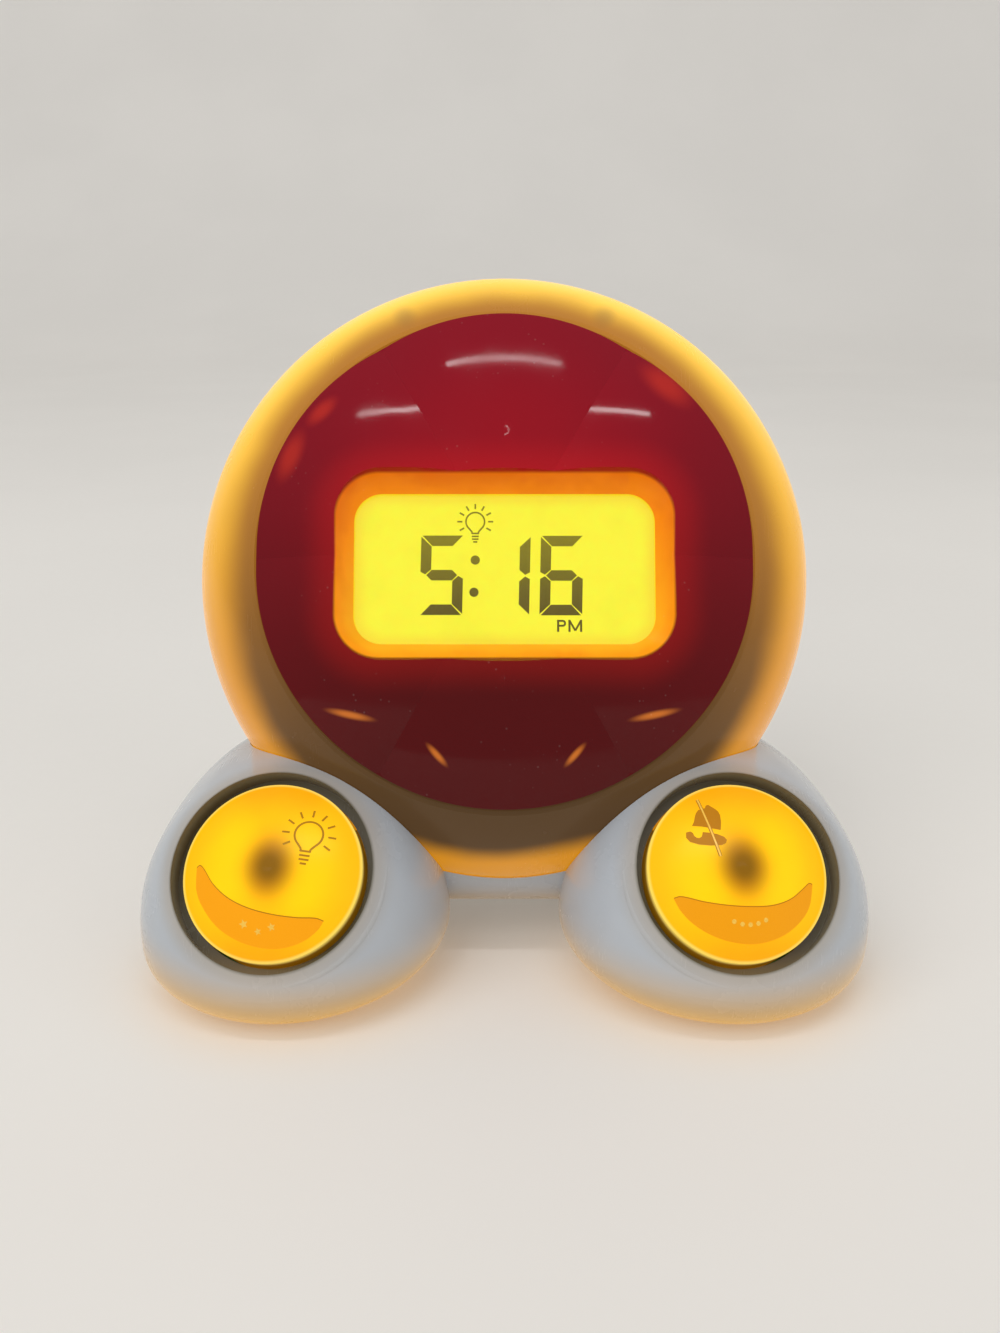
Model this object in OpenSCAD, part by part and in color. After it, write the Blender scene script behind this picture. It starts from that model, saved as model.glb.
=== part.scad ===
// Bedside alarm clock: round tilted head with a backlit display, standing on two feet with push buttons.
// Units are millimetres. X is to the right, Y to the rear, Z up; the feet rest on Z = 0.

/* [Head] */
// outer diameter of the white ring
head_d = 130; // [128:0.5:132]
// radius of the ring's rounded section
head_round = 28; // [27.5:0.1:28.5]
// height of the head's centre above the table
head_h = 74; // [73.5:0.1:75]
// how far the head leans back, in degrees
head_tilt = 24.1; // [23:0.1:25]
// distance from the head's centre plane to the ring's front lip
front_z = 24.6; // [24.4:0.1:25]
// distance from the head's centre plane to its flat back
back_z = 26; // [25.8:0.1:26.4]
// wall thickness of the housings and the base
wall = 2.2; // [1.8:0.1:2.4]
// gap between two parts that are screwed together
seam_gap = 0.15; // [0.1:0.05:0.25]

/* [Face] */
// diameter of the red face cover
face_d = 98.2; // [97.6:0.1:98.6]
// distance from the face's centre to the middle of each lobe
lobe_offset = 24; // [22:0.5:26]
// radius of each lobe's ball surface
lobe_r = 70; // [68:0.5:72]
// how far the lobes stand in front of the ring's lip
lobe_rise = 6.8; // [6.4:0.1:7.2]
// thickness of the face cover
face_wall = 2.2; // [1.8:0.1:2.6]
// gap all round the face cover
face_gap = 0.4; // [0.3:0.05:0.6]
// width of the window at its front edge
window_w = 66; // [65:0.1:67]
// height of the window at its front edge
window_h = 36.4; // [35.6:0.1:37]

/* [Display] */
// width of the display area that shows
view_w = 59.6; // [59:0.1:60.4]
// height of the display area that shows
view_h = 30; // [29.4:0.1:30.6]
// corner radius of the display area
view_corner = 5.6; // [4.5:0.1:6.5]
// how far the display lens sits behind the ring's lip
lens_back = 0.3; // [0.1:0.1:0.8]
// how far the window sits below the middle of the face
window_drop = 1.9; // [1.4:0.1:2.4]

/* [Feet] */
// half the distance between the feet
foot_x = 42.6; // [42.2:0.1:43]
// width of a foot
foot_w = 62.8; // [62.2:0.2:63.6]
// length of a foot ahead of its widest place
foot_front = 28.7; // [28.4:0.1:29.2]
// length of a foot behind its widest place
foot_back = 68; // [64:0.5:70]
// height of a foot above its widest level
foot_top = 34.1; // [33.6:0.1:34.8]
// height of a foot's widest level above the table
foot_mid = 11.5; // [11.3:0.1:11.8]
// depth that the foot's rounded underside would reach below its widest level
foot_low = 15.4; // [15.2:0.1:16]
// radius of the bridge between the feet
bridge_r = 12; // [11.6:0.1:12.4]
// thickness of the rubber pads that show below the feet
pad_h = 1; // [0.9:0.1:1.2]

/* [Push buttons] */
// diameter of a push button
button_d = 34.4; // [33.6:0.1:35]
// height of a button's dome
button_rise = 4.2; // [3.6:0.1:5]
// how far a button travels
button_travel = 1.2; // [0.8:0.1:1.4]
// gap between a button and its guide
button_gap = 0.35; // [0.3:0.05:0.5]
// elevation of the direction a button faces, in degrees
button_el = 42.5; // [41:0.5:44]

/* [Rear controls] */
// diameter of a set button
set_d = 7; // [6:0.1:7.6]
// how far a set button travels
set_travel = 0.8; // [0.5:0.1:1]
// gap between a set button and its hole
set_gap = 0.3; // [0.3:0.05:0.4]
// how far a slide switch moves each way
slide_travel = 2; // [1.5:0.1:2.2]

/* [Batteries] */
// diameter of a cell
cell_d = 10.5; // [10.3:0.1:10.5]
// length of a cell
cell_l = 44.5; // [44:0.1:44.5]
// distance between two cells
cell_pitch = 11.3; // [11:0.1:11.5]

/* [Hidden] */
$fn = 96;

// colours
white = [0.93, 0.92, 0.88];
red = [0.62, 0.02, 0.08];
amber = [1, 0.66, 0.1];
black = [0.12, 0.12, 0.13];
green = [0.1, 0.34, 0.2];
steel = [0.72, 0.72, 0.74];
brass = [0.78, 0.66, 0.36];

// places
frame_y = 10.9;
head_r = head_d / 2;
face_r = face_d / 2;
button_r = button_d / 2;
cell_r = cell_d / 2;
foot_y = -36.2;
foot_lean = 1.1;
foot_roll = 3.8;
foot_turn = 1.8;
bridge_y = -22;
bridge_drop = 52.7;
bridge_z = head_h - bridge_drop;
bridge_half = 22;
neck_y = -20;
neck_x = 15;
neck_z = bridge_z - 8.7;
neck_top = bridge_z + 2.7;
button_at = [44.1, -51.2, 30.4];
button_turn = 5.1;

// face seat and window depths, all along the head's axis
seat_z = front_z - 2.2;
flange_z = front_z - 0.1;
lens_z = front_z - lens_back;
lens_t = 1;
lcd_t = 2.8;
lcd_z = lens_z - lens_t - 0.2 - lcd_t;
light_t = 4;
light_z = lcd_z - 0.2 - light_t;
board_t = 1.6;
board_z = light_z - 0.3 - board_t;
lobe_z = front_z + lobe_rise - lobe_r;

// screw places around the head
case_screws = [[28, 34.4], [33.2, -29.5]];
boss_r = 3.4;
face_screw_at = [58, 122, 238, 302];
ring_board_z = 3;
lug_t = 2.5;

// rear face layout
set_x = [-30, -15, 0, 15, 30];
set_y = 7;
slide_x = 31;
slide_y = 21;
speaker_y = 30;
speaker_r = 15;
plate_in = -back_z + wall;
set_board_z = plate_in + 5.4;

// battery well
cell_y = -18.5;
well_w = cell_l + 6.5;
well_h = 2 * cell_pitch + cell_d + 1.2;
well_z = -back_z + 2.4 + cell_d + 0.9;
well_wall = 2.6;
door_t = 2;
door_gap = 0.3;
ledge = 1.6;
door_y = cell_y;

// foot details
floor_z = pad_h - 0.2;
plate_z = floor_z + 0.2;
plate_t = 2;
plate_rx = foot_w / 2 - 11.9;
plate_front = foot_front - 11.2;
plate_back = foot_back - 23;
plate_shift = 0.7;
guide_top = -4;
guide_t = 2;
well_r = button_r + 2.1;
board_low = -15;

// ---------- placing ----------

module in_head() {
  translate([0, frame_y, head_h])
    rotate([90 - head_tilt, 0, 0])
      children();
}

module in_button() {
  translate([-button_at[0], button_at[1] + frame_y, button_at[2]])
    rotate([90 - button_el, 0, -button_turn])
      children();
}

// the right side is the mirror image of the left side
module on_side(s) {
  if (s > 0)
    mirror([1, 0, 0])
      children();
  else
    children();
}

module in_display() {
  in_head()
    translate([0, -window_drop, 0])
      children();
}

module screw(head_r, head_h, shaft_r, shaft_l) {
  difference() {
    union() {
      cylinder(r = head_r, h = head_h);
      translate([0, 0, -shaft_l])
        cylinder(r = shaft_r, h = shaft_l + 0.1);
    }
    translate([0, 0, head_h - 0.7])
      cube([head_r * 1.2, 0.6, 2], center = true);
    translate([0, 0, head_h - 0.7])
      cube([0.6, head_r * 1.2, 2], center = true);
  }
}

// ---------- head ----------

module ring_profile(grow, z_low, z_high) {
  intersection() {
    translate([head_r - head_round, 0])
      circle(r = head_round + grow);
    translate([0, z_low])
      square([head_r + grow + 5, z_high - z_low]);
    square([400, 400], center = true);
  }
  translate([0, z_low])
    square([head_r - head_round, z_high - z_low]);
}

module head_body(grow, z_low, z_high) {
  rotate_extrude()
    ring_profile(grow, z_low, z_high);
}

// the room the head takes in the base
module head_clear() {
  in_head()
    head_body(seam_gap, -back_z - seam_gap, front_z + seam_gap);
}

module case_posts(r, z_low, z_high) {
  for (s = [-1, 1])
    for (p = case_screws)
      translate([s * p[0], p[1], z_low])
        cylinder(r = r, h = z_high - z_low, $fn = 48);
}

module neck_post(r, z_low, z_high) {
  for (s = [-1, 1])
    translate([s * neck_x, neck_y + frame_y, z_low])
      cylinder(r = r, h = z_high - z_low, $fn = 48);
}

module cable_gate(r) {
  for (s = [-1, 1])
    in_head()
      translate([s * 38, -36, -12])
        rotate([90, 0, 0])
          cylinder(r = r, h = 30, $fn = 48);
}

module front_housing() {
  color(white) in_head() difference() {
    union() {
      difference() {
        head_body(0, 0.1, front_z);
        head_body(-wall, -1, seat_z - 2.2);
        translate([0, 0, seat_z])
          cylinder(r = face_r + face_gap, h = 10);
        translate([0, 0, seat_z - 5])
          cylinder(r = face_r - 3.4, h = 10);
      }
      case_posts(boss_r, -8, seat_z - 1);
      board_arms();
      face_lugs();
    }
    case_posts(1.42, -10, 8);
    face_screw_holes(1.4, seat_z - 4, 6);
    for (s = [-1, 1], t = [-1, 1])
      translate([s * 20, t * 23.5 - window_drop, board_z])
        cylinder(r = 1.1, h = 7.2, $fn = 32);
  }
}

// lugs that the face cover's screws pass through
module face_lugs() {
  for (i = [0:3])
    rotate([0, 0, face_screw_at[i]])
      translate([face_r - 7.4, 0, seat_z - lug_t]) {
        cylinder(r = 3.2, h = lug_t, $fn = 48);
        translate([0, -3.2, 0])
          cube([5.4, 6.4, lug_t]);
      }
}

module face_screw_holes(r, z_low, h) {
  for (i = [0:3])
    rotate([0, 0, face_screw_at[i]])
      translate([face_r - 7.4, 0, z_low])
        cylinder(r = r, h = h, $fn = 48);
}

// ball surfaces of the six lobes, made smaller by the given amount
module lobes(less) {
  for (i = [0:5])
    rotate([0, 0, 30 + 60 * i])
      translate([lobe_offset, 0, lobe_z])
        sphere(r = lobe_r - less);
}

// rounded window block whose sides lean: half sizes at the low and at the high level
module window_block(w0, h0, c0, w1, h1, z0, z1) {
  cx = w0 / 2 - c0;
  cy = h0 / 2 - c0;
  grow = (w1 - w0) / 2;
  grow_h = (h1 - h0) / 2;
  c1 = c0 + grow;
  rotate([90, 0, 0])
    linear_extrude(2 * cy, center = true)
      polygon([[-w0 / 2, z0], [w0 / 2, z0], [w0 / 2 + grow, z1], [-w0 / 2 - grow, z1]]);
  rotate([90, 0, 90])
    linear_extrude(2 * cx, center = true)
      polygon([[-h0 / 2, z0], [h0 / 2, z0], [h0 / 2 + grow, z1], [-h0 / 2 - grow, z1]]);
  for (i = [0:3])
    translate([(i == 0 || i == 3 ? 1 : -1) * cx, (i < 2 ? 1 : -1) * cy, 0])
      rotate([0, 0, 90 * i])
        rotate_extrude(angle = 90)
          polygon([[0, z0], [c0, z0], [c1, z1], [0, z1]]);
}

// the window tapers from its front edge down to the display
win_top = front_z + 5.6;
win_low = lens_z + 0.1;
win_slope = (window_w - view_w) / 2 / (win_top - win_low);

module window_cut(grow, z_low, z_high) {
  w = view_w + 2 * grow + 2 * win_slope * (z_low - win_low);
  h = view_h + 2 * grow + 2 * win_slope * (z_low - win_low);
  step = 2 * win_slope * (z_high - z_low);
  window_block(w, h, view_corner + grow, w + step, h + step, z_low, z_high);
}

module face_cover() {
  color(red) in_head() difference() {
    union() {
      intersection() {
        difference() {
          lobes(0);
          lobes(face_wall);
        }
        translate([0, 0, seat_z + 0.1])
          cylinder(r = face_r, h = 30);
      }
      translate([0, 0, seat_z + 0.1]) difference() {
        cylinder(r = face_r, h = flange_z - seat_z - 0.1);
        translate([0, 0, -1])
          cylinder(r = face_r - 4, h = 10);
      }
      intersection() {
        lobes(0.5);
        translate([0, -window_drop, 0])
          window_cut(1.8, win_low, win_top + 6);
      }
      intersection() {
        lobes(0.5);
        face_screw_holes(2.6, seat_z + 0.1, 8);
      }
    }
    translate([0, -window_drop, 0])
      window_cut(0, win_low - 0.05, win_top + 8);
    translate([0, -window_drop, seat_z])
      linear_extrude(win_low + 0.4 - seat_z)
        square([view_w - 2 * view_corner, view_h - 2 * view_corner], center = true);
    face_screw_holes(1.12, seat_z - 1, 4.6);
  }
}

module display_lens() {
  color([0.9, 0.93, 0.95, 0.35]) in_display()
    translate([0, 0, lens_z - lens_t])
      linear_extrude(lens_t)
        square([view_w + 5, view_h + 5], center = true);
}

module lcd_panel() {
  color([0.82, 0.86, 0.2]) in_display()
    translate([0, 0, lcd_z])
      linear_extrude(lcd_t)
        square([view_w + 5, view_h + 5], center = true);
}

module lcd_backlight() {
  color([0.95, 0.95, 0.9]) in_display()
    translate([0, 0, light_z])
      linear_extrude(light_t)
        square([view_w + 3, view_h + 2], center = true);
}

module lcd_holder() {
  color(black) in_display() difference() {
    translate([0, 0, board_z + board_t + 0.1])
      linear_extrude(lens_z - board_z - board_t - 0.15)
        square([view_w + 12, view_h + 11], center = true);
    translate([0, 0, board_z])
      linear_extrude(40)
        square([view_w + 5.4, view_h + 5.4], center = true);
    for (s = [-1, 1])
      translate([s * (view_w / 2 + 4.4), 0, board_z])
        cylinder(r = 0.9, h = 6, $fn = 32);
  }
}

module lcd_contact_strips() {
  color([0.85, 0.6, 0.6]) in_display()
    for (s = [-1, 1])
      translate([0, s * (view_h / 2 + 1.85), (lcd_z - 0.1 + board_z + board_t + 0.1) / 2])
        cube([view_w - 6, 1.2, lcd_z - board_z - board_t - 0.2], center = true);
}

main_w = view_w + 18;
main_h = view_h + 24;

module main_board() {
  color(green) in_display() difference() {
    translate([0, 0, board_z])
      linear_extrude(board_t)
        intersection() {
          square([main_w, main_h], center = true);
          circle(r = 38);
        }
    for (s = [-1, 1], t = [-1, 1])
      translate([s * 20, t * 23.5, board_z - 1])
        cylinder(r = 1.3, h = 5, $fn = 32);
  }
}

module main_board_parts() {
  color(black) in_display() {
    translate([-6, 2, board_z - 1.7])
      cube([14, 14, 3.2], center = true);
    translate([14, 8, board_z - 1.3])
      cube([8, 5, 2.4], center = true);
    translate([14, -6, board_z - 1.1])
      cube([6, 4, 2], center = true);
    translate([-24, 6, board_z - 5.1])
      cylinder(r = 3.2, h = 5, $fn = 48);
    translate([-24, -6, board_z - 5.1])
      cylinder(r = 2.5, h = 5, $fn = 48);
    translate([26, 8, board_z - 4.1])
      cylinder(r = 2.5, h = 4, $fn = 48);
    translate([4, -16, board_z - 2.6])
      cube([11, 5, 5], center = true);
  }
}

// four posts of the main board stand on arms inside the front housing
module board_arms() {
  for (s = [-1, 1], t = [-1, 1]) {
    translate([s * 20, t * 23.5 - window_drop, board_z + board_t + 0.1])
      cylinder(r = 2.8, h = seat_z - 0.4 - board_z - board_t - 0.1, $fn = 48);
    translate([s * 20, t * 23.5 - window_drop, seat_z - 2.2])
      rotate([0, 0, atan2(t * 23.5 - window_drop, s * 20)])
        translate([0, -2, 0])
          cube([17, 4, 1.8]);
  }
}

module main_board_screws() {
  color(steel) in_display()
    for (s = [-1, 1], t = [-1, 1])
      translate([s * 20, t * 23.5, board_z - 0.05])
        rotate([180, 0, 0])
          screw(2.2, 1.4, 1.05, 5);
}

module light_ring_board() {
  color(white) in_head() difference() {
    translate([0, 0, ring_board_z])
      cylinder(r = 59, h = board_t);
    translate([0, 0, ring_board_z - 1])
      cylinder(r = 50.4, h = 5);
    for (i = [0:3])
      rotate([0, 0, 90 * i])
        translate([54.7, 0, ring_board_z - 1])
          cylinder(r = 1.3, h = 5, $fn = 32);
    translate([-40, -70, ring_board_z - 1])
      cube([80, 28, 5]);
  }
}

module night_light_leds() {
  color(amber) in_head()
    for (i = [0:9])
      rotate([0, 0, -36 + 28 * i])
        translate([54.7, 0, ring_board_z + board_t + 0.05]) {
          cylinder(r = 2.4, h = 3.4, $fn = 48);
          translate([0, 0, 3.4])
            sphere(r = 2.3, $fn = 48);
        }
}

// posts that carry the night-light board, standing on the rear housing
module ring_posts(r, z_high) {
  for (i = [0, 1, 2])
    rotate([0, 0, 90 * i])
      translate([54.7, 0, -26])
        cylinder(r = r, h = z_high + 26, $fn = 48);
}

module light_ring_screws() {
  color(steel) in_head()
    for (i = [0, 1, 2])
      rotate([0, 0, 90 * i])
        translate([54.7, 0, ring_board_z + board_t + 0.05])
          screw(2.2, 1.4, 1.05, 6);
}

// ---------- rear housing ----------

door_z = -back_z + door_t + 0.2;
door_w = well_w + 2 * ledge;
door_h = well_h + 2 * ledge;
tab_r = 4.2;
tab_y = cell_y - well_h / 2 - 4.2;
cell_z = -back_z + door_t + 0.6 + cell_r;

function grille_half(x) = sqrt(12 * 12 - x * x);

// outline of the battery door with its screw tab, made smaller by the given amount
module door_plate(less, t) {
  translate([-door_w / 2 + less, cell_y - door_h / 2 + less, 0])
    cube([door_w - 2 * less, door_h - 2 * less, t]);
  translate([0, tab_y, 0])
    cylinder(r = tab_r - less, h = t, $fn = 64);
}

module rear_walls() {
  difference() {
    head_body(0, -back_z, -0.1);
    head_body(-wall, plate_in, 1);
  }
  intersection() {
    rotate_extrude()
      polygon([[60.2, -6], [64, -6], [64, -0.1], [62.2, -0.1], [62.2, 2.6], [60.2, 2.6]]);
    head_body(-0.6, -back_z, 3);
  }
  intersection() {
    head_body(-0.5, -back_z + 0.5, 3);
    union() {
      case_posts(boss_r, -back_z, -8.2);
      ring_posts(3, ring_board_z - 0.05);
    }
  }
  translate([-well_w / 2 - well_wall, cell_y - well_h / 2 - well_wall, -back_z + 0.5])
    cube([well_w + 2 * well_wall, well_h + 2 * well_wall, well_z + back_z + 1.1]);
  translate([0, tab_y, -back_z + 0.5])
    cylinder(r = tab_r + 1.2, h = 10, $fn = 64);
  translate([0, speaker_y, plate_in - 0.2]) difference() {
    cylinder(r = speaker_r + 1.6, h = 4.7);
    translate([0, 0, -1])
      cylinder(r = speaker_r + 0.2, h = 10);
  }
  for (s = [-1, 1]) {
    translate([s * (speaker_r + 3.2), speaker_y, plate_in - 0.2])
      cylinder(r = 2.6, h = 4.7, $fn = 48);
    translate([s * 22.5, set_y, plate_in - 0.2])
      cylinder(r = 2.4, h = set_board_z - plate_in + 0.1, $fn = 48);
  }
}

module rear_cuts() {
  translate([-well_w / 2, cell_y - well_h / 2, -back_z - 1])
    cube([well_w, well_h, well_z + back_z + 1]);
  translate([0, 0, -back_z - 1])
    door_plate(0, door_t + 1.2);
  translate([0, tab_y, -back_z])
    cylinder(r = 1.1, h = 9, $fn = 32);
  case_posts(1.7, -back_z - 1, -7);
  case_posts(3, -back_z - 1, -18);
  ring_posts(1.1, 12);
  for (x = set_x)
    translate([x, set_y, -back_z - 1])
      cylinder(r = set_d / 2 + set_gap, h = wall + 2, $fn = 64);
  for (s = [-1, 1]) {
    translate([s * slide_x - 2.2, slide_y - 2.5 - slide_travel, -back_z - 1])
      cube([4.4, 5 + 2 * slide_travel, wall + 2]);
    translate([s * (speaker_r + 3.2), speaker_y, plate_in + 0.3])
      cylinder(r = 0.95, h = 6, $fn = 32);
    translate([s * 22.5, set_y, plate_in + 0.3])
      cylinder(r = 0.95, h = 8, $fn = 32);
  }
  for (i = [-3:3])
    translate([-0.7 + i * 3.2, speaker_y - grille_half(i * 3.2), -back_z - 1])
      cube([1.4, 2 * grille_half(i * 3.2), wall + 2]);
}

module rear_housing() {
  color(white) difference() {
    union() {
      in_head() difference() {
        rear_walls();
        rear_cuts();
      }
      neck_post(3.6, neck_z + 0.1, neck_top);
    }
    neck_post(1.42, neck_z - 1, neck_top - 0.4);
    cable_gate(3);
  }
}

module speaker() {
  color(black) in_head() translate([0, speaker_y, plate_in + 0.05]) difference() {
    union() {
      cylinder(r = speaker_r, h = 4.4);
      cylinder(r = 7.4, h = 7.6);
    }
    translate([0, 0, -1])
      cylinder(r1 = 13.6, r2 = 9, h = 3);
  }
}

module speaker_clamp() {
  color(steel) in_head() translate([0, speaker_y, plate_in + 4.6]) difference() {
    union() {
      cylinder(r = speaker_r + 1, h = 1);
      translate([-speaker_r - 3.2, -2.4, 0])
        cube([2 * speaker_r + 6.4, 4.8, 1]);
      for (s = [-1, 1])
        translate([s * (speaker_r + 3.2), 0, 0])
          cylinder(r = 2.4, h = 1, $fn = 48);
    }
    translate([0, 0, -1])
      cylinder(r = 10, h = 4);
    for (s = [-1, 1])
      translate([s * (speaker_r + 3.2), 0, -1])
        cylinder(r = 1.1, h = 4, $fn = 32);
  }
}

module set_board() {
  color(green) in_head() translate([0, 0, set_board_z]) difference() {
    union() {
      translate([-37, set_y - 5.2, 0])
        cube([74, 10.4, 1.2]);
      for (s = [-1, 1])
        translate([s * slide_x - 6, set_y + 5, 0])
          cube([12, slide_y - set_y + 1.5, 1.2]);
    }
    for (s = [-1, 1])
      translate([s * 22.5, set_y, -1])
        cylinder(r = 1.1, h = 4, $fn = 32);
  }
}

module set_key_switches() {
  color(black) in_head()
    for (x = set_x)
      translate([x, set_y, set_board_z - 0.05]) {
        translate([-3, -3, -2.4])
          cube([6, 6, 2.4]);
        translate([0, 0, -2.9])
          cylinder(r = 1.5, h = 1, $fn = 32);
      }
}

module slide_switches() {
  color(steel) in_head()
    for (s = [-1, 1])
      translate([s * slide_x - 2.6, slide_y - 5, set_board_z - 3.05])
        cube([5.2, 10, 3]);
}

module rear_small_screws() {
  color(steel) in_head()
    for (s = [-1, 1]) {
      translate([s * (speaker_r + 3.2), speaker_y, plate_in + 5.65])
        screw(1.9, 1.2, 0.9, 4.4);
      translate([s * 22.5, set_y, set_board_z + 1.25])
        screw(1.9, 1.2, 0.9, 5);
    }
}

module set_button(x) {
  color([0.25, 0.26, 0.3]) in_head() translate([x, set_y, 0]) {
    translate([0, 0, -back_z - 1.2])
      cylinder(r = set_d / 2, h = wall + 1.3, $fn = 64);
    translate([0, 0, plate_in + 0.05])
      cylinder(r = set_d / 2 + 1, h = 0.8, $fn = 64);
    translate([0, 0, plate_in + 0.05])
      cylinder(r = 1.6, h = set_board_z - 2.95 - plate_in - set_travel - 0.2, $fn = 48);
  }
}

module time_button() { set_button(set_x[0]); }
module alarm_button() { set_button(set_x[1]); }
module wake_button() { set_button(set_x[2]); }
module down_button() { set_button(set_x[3]); }
module up_button() { set_button(set_x[4]); }

module slide_knob(s) {
  color([0.25, 0.26, 0.3]) in_head() translate([s * slide_x, slide_y, 0]) difference() {
    union() {
      translate([-1.9, -2.2, -back_z - 1])
        cube([3.8, 4.4, wall + 1.2]);
      translate([-3, -4.8, plate_in + 0.05])
        cube([6, 9.6, 0.8]);
      translate([-1.2, -1.6, plate_in + 0.05])
        cube([2.4, 3.2, set_board_z - 3.1 - plate_in - 0.05]);
    }
    for (i = [-1, 0, 1])
      translate([-3, i * 1.3 - 0.3, -back_z - 1.4])
        cube([6, 0.6, 0.8]);
  }
}

module alarm_slide_knob() { slide_knob(-1); }
module light_slide_knob() { slide_knob(1); }

module battery_door() {
  color(white) in_head() difference() {
    union() {
      translate([0, 0, -back_z])
        door_plate(door_gap, door_t);
      for (i = [-1, 1])
        translate([-18, cell_y + i * cell_pitch / 2 - 0.6, -back_z + door_t - 0.1])
          cube([36, 1.2, 1]);
    }
    translate([0, tab_y, -back_z - 1])
      cylinder(r = 1.25, h = 5, $fn = 32);
    translate([0, tab_y, -back_z - 1])
      cylinder(r = 2.7, h = 2.1, $fn = 48);
    for (i = [0:3])
      translate([-9, cell_y + door_h / 2 - 4 - i * 1.8, -back_z - 0.5])
        cube([18, 0.8, 1]);
  }
}

module battery_door_screw() {
  color(steel) in_head()
    translate([0, tab_y, -back_z + 1.05])
      rotate([180, 0, 0])
        screw(2.3, 1.1, 1.04, 6);
}

module cell_row() {
  for (i = [-1, 0, 1])
    translate([0, cell_y + i * cell_pitch, cell_z])
      rotate([0, 0, i == 0 ? 180 : 0])
        children();
}

module battery_cells() {
  color([0.2, 0.42, 0.3]) in_head()
    cell_row()
      translate([-cell_l / 2 + 2.2, 0, 0])
        rotate([0, 90, 0]) {
          cylinder(r = cell_r, h = cell_l - 1);
          cylinder(r = 1.9, h = cell_l, $fn = 48);
        }
}

module battery_contacts() {
  color(brass) in_head()
    cell_row() {
      translate([well_w / 2 - 0.8, -4.4, -4.4])
        cube([0.5, 8.8, 8.8]);
      translate([-well_w / 2 + 0.2, -4.4, -4.4])
        cube([0.5, 8.8, 8.8]);
    }
}

// one coil spring as a single closed tube, with straight ends one wire thick
wire_d = 0.7;
turns = 3;
curl_steps = 8;
tube_sides = 6;
spring_len = 4.6;
spring_r0 = 3.3;
spring_r1 = 1.9;

function spring_point(u) =
  let (r = spring_r0 + (spring_r1 - spring_r0) * u, a = 360 * turns * u)
  [r * cos(a), r * sin(a), wire_d / 2 + 0.05 + (spring_len - wire_d - 0.1) * u];

spring_path = let (n = turns * curl_steps, first = spring_point(0), last = spring_point(1))
  concat(
    [[first[0], first[1] - wire_d, first[2]]],
    [for (i = [0:n]) spring_point(i / n)],
    [[last[0], last[1] + wire_d, last[2]]]);

function unit(v) = v / norm(v);

function ring_at(path, i) =
  let (
    last = len(path) - 1,
    d = unit(path[min(i + 1, last)] - path[max(i - 1, 0)]),
    side = unit(cross(d, [0, 0, 1])),
    up = cross(side, d))
  [for (k = [0:tube_sides - 1])
    path[i] + wire_d / 2 * (cos(360 * k / tube_sides) * side + sin(360 * k / tube_sides) * up)];

module coil_tube(path) {
  n = len(path);
  rings = [for (i = [0:n - 1]) each ring_at(path, i)];
  sides = [for (i = [0:n - 2], k = [0:tube_sides - 1])
    let (a = i * tube_sides + k, b = i * tube_sides + (k + 1) % tube_sides)
    [a, b, b + tube_sides, a + tube_sides]];
  low = [[for (k = [0:tube_sides - 1]) tube_sides - 1 - k]];
  high = [[for (k = [0:tube_sides - 1]) (n - 1) * tube_sides + k]];
  polyhedron(points = rings, faces = concat(low, sides, high), convexity = 6);
}

// least gap between curls: the closest pair of centre points more than half a curl apart
coil_gap = min([for (i = [0:len(spring_path) - 1], j = [i + 5:1:len(spring_path) - 1])
  norm(spring_path[i] - spring_path[j]) - wire_d]);
echo(coil_gap = coil_gap);

module battery_springs() {
  color(steel) in_head()
    cell_row()
      translate([-well_w / 2 + 0.75, 0, 0])
        rotate([0, 90, 0])
          coil_tube(spring_path);
}

module face_screws() {
  color(steel) in_head()
    for (i = [0:3])
      rotate([0, 0, face_screw_at[i]])
        translate([face_r - 7.4, 0, seat_z - lug_t - 0.05])
          rotate([180, 0, 0])
            screw(2.1, 1.3, 1.05, 5.4);
}

module housing_screws() {
  color(steel) in_head()
    for (s = [-1, 1])
      for (p = case_screws)
        translate([s * p[0], p[1], -18.05])
          rotate([180, 0, 0])
            screw(2.7, 1.6, 1.36, 22);
}

// ---------- base with the two feet ----------

// quarter of a ball surface stretched to three half lengths
module egg_part(x, y, z) {
  intersection() {
    scale([x, abs(y), abs(z)])
      sphere(1);
    translate([-100, y < 0 ? -100 : 0, z < 0 ? -100 : 0])
      cube([200, 100, 100]);
  }
}

module in_foot() {
  translate([-foot_x, foot_y + frame_y, foot_mid])
    rotate([foot_lean, -foot_roll, foot_turn])
      children();
}

module egg() {
  in_foot()
    for (y = [-foot_front, foot_back], z = [-foot_low, foot_top])
      egg_part(foot_w / 2, y, z);
}

// the hollow above the foot's widest level: a ball in front and narrowing rings behind
hollow_r = foot_w / 2 - wall;
hollow_end = foot_back - wall;
ball_y = hollow_r - foot_front + wall;
hollow_at = [27, 45, 57, hollow_end - 2.4];

function hollow_at_r(y) = hollow_r * sqrt(1 - y * y / hollow_end / hollow_end);

module hollow_profile() {
  intersection() {
    translate([0, ball_y])
      circle(r = hollow_r);
    translate([0, ball_y - 100])
      square(100);
  }
  polygon([
    [0, ball_y],
    [hollow_r, ball_y],
    for (y = hollow_at) [hollow_at_r(y), y],
    [0, hollow_at[len(hollow_at) - 1]]
  ]);
}

// plan of a foot's lower room: round in front and pointed behind
module room_plan(half, back) {
  side_r = (half * half + back * back) / 2 / half;
  intersection() {
    circle(r = half);
    translate([-100, -200])
      square(200);
  }
  intersection() {
    translate([side_r - half, 0])
      circle(r = side_r);
    translate([half - side_r, 0])
      circle(r = side_r);
    translate([-100, 0])
      square(200);
  }
}

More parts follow.
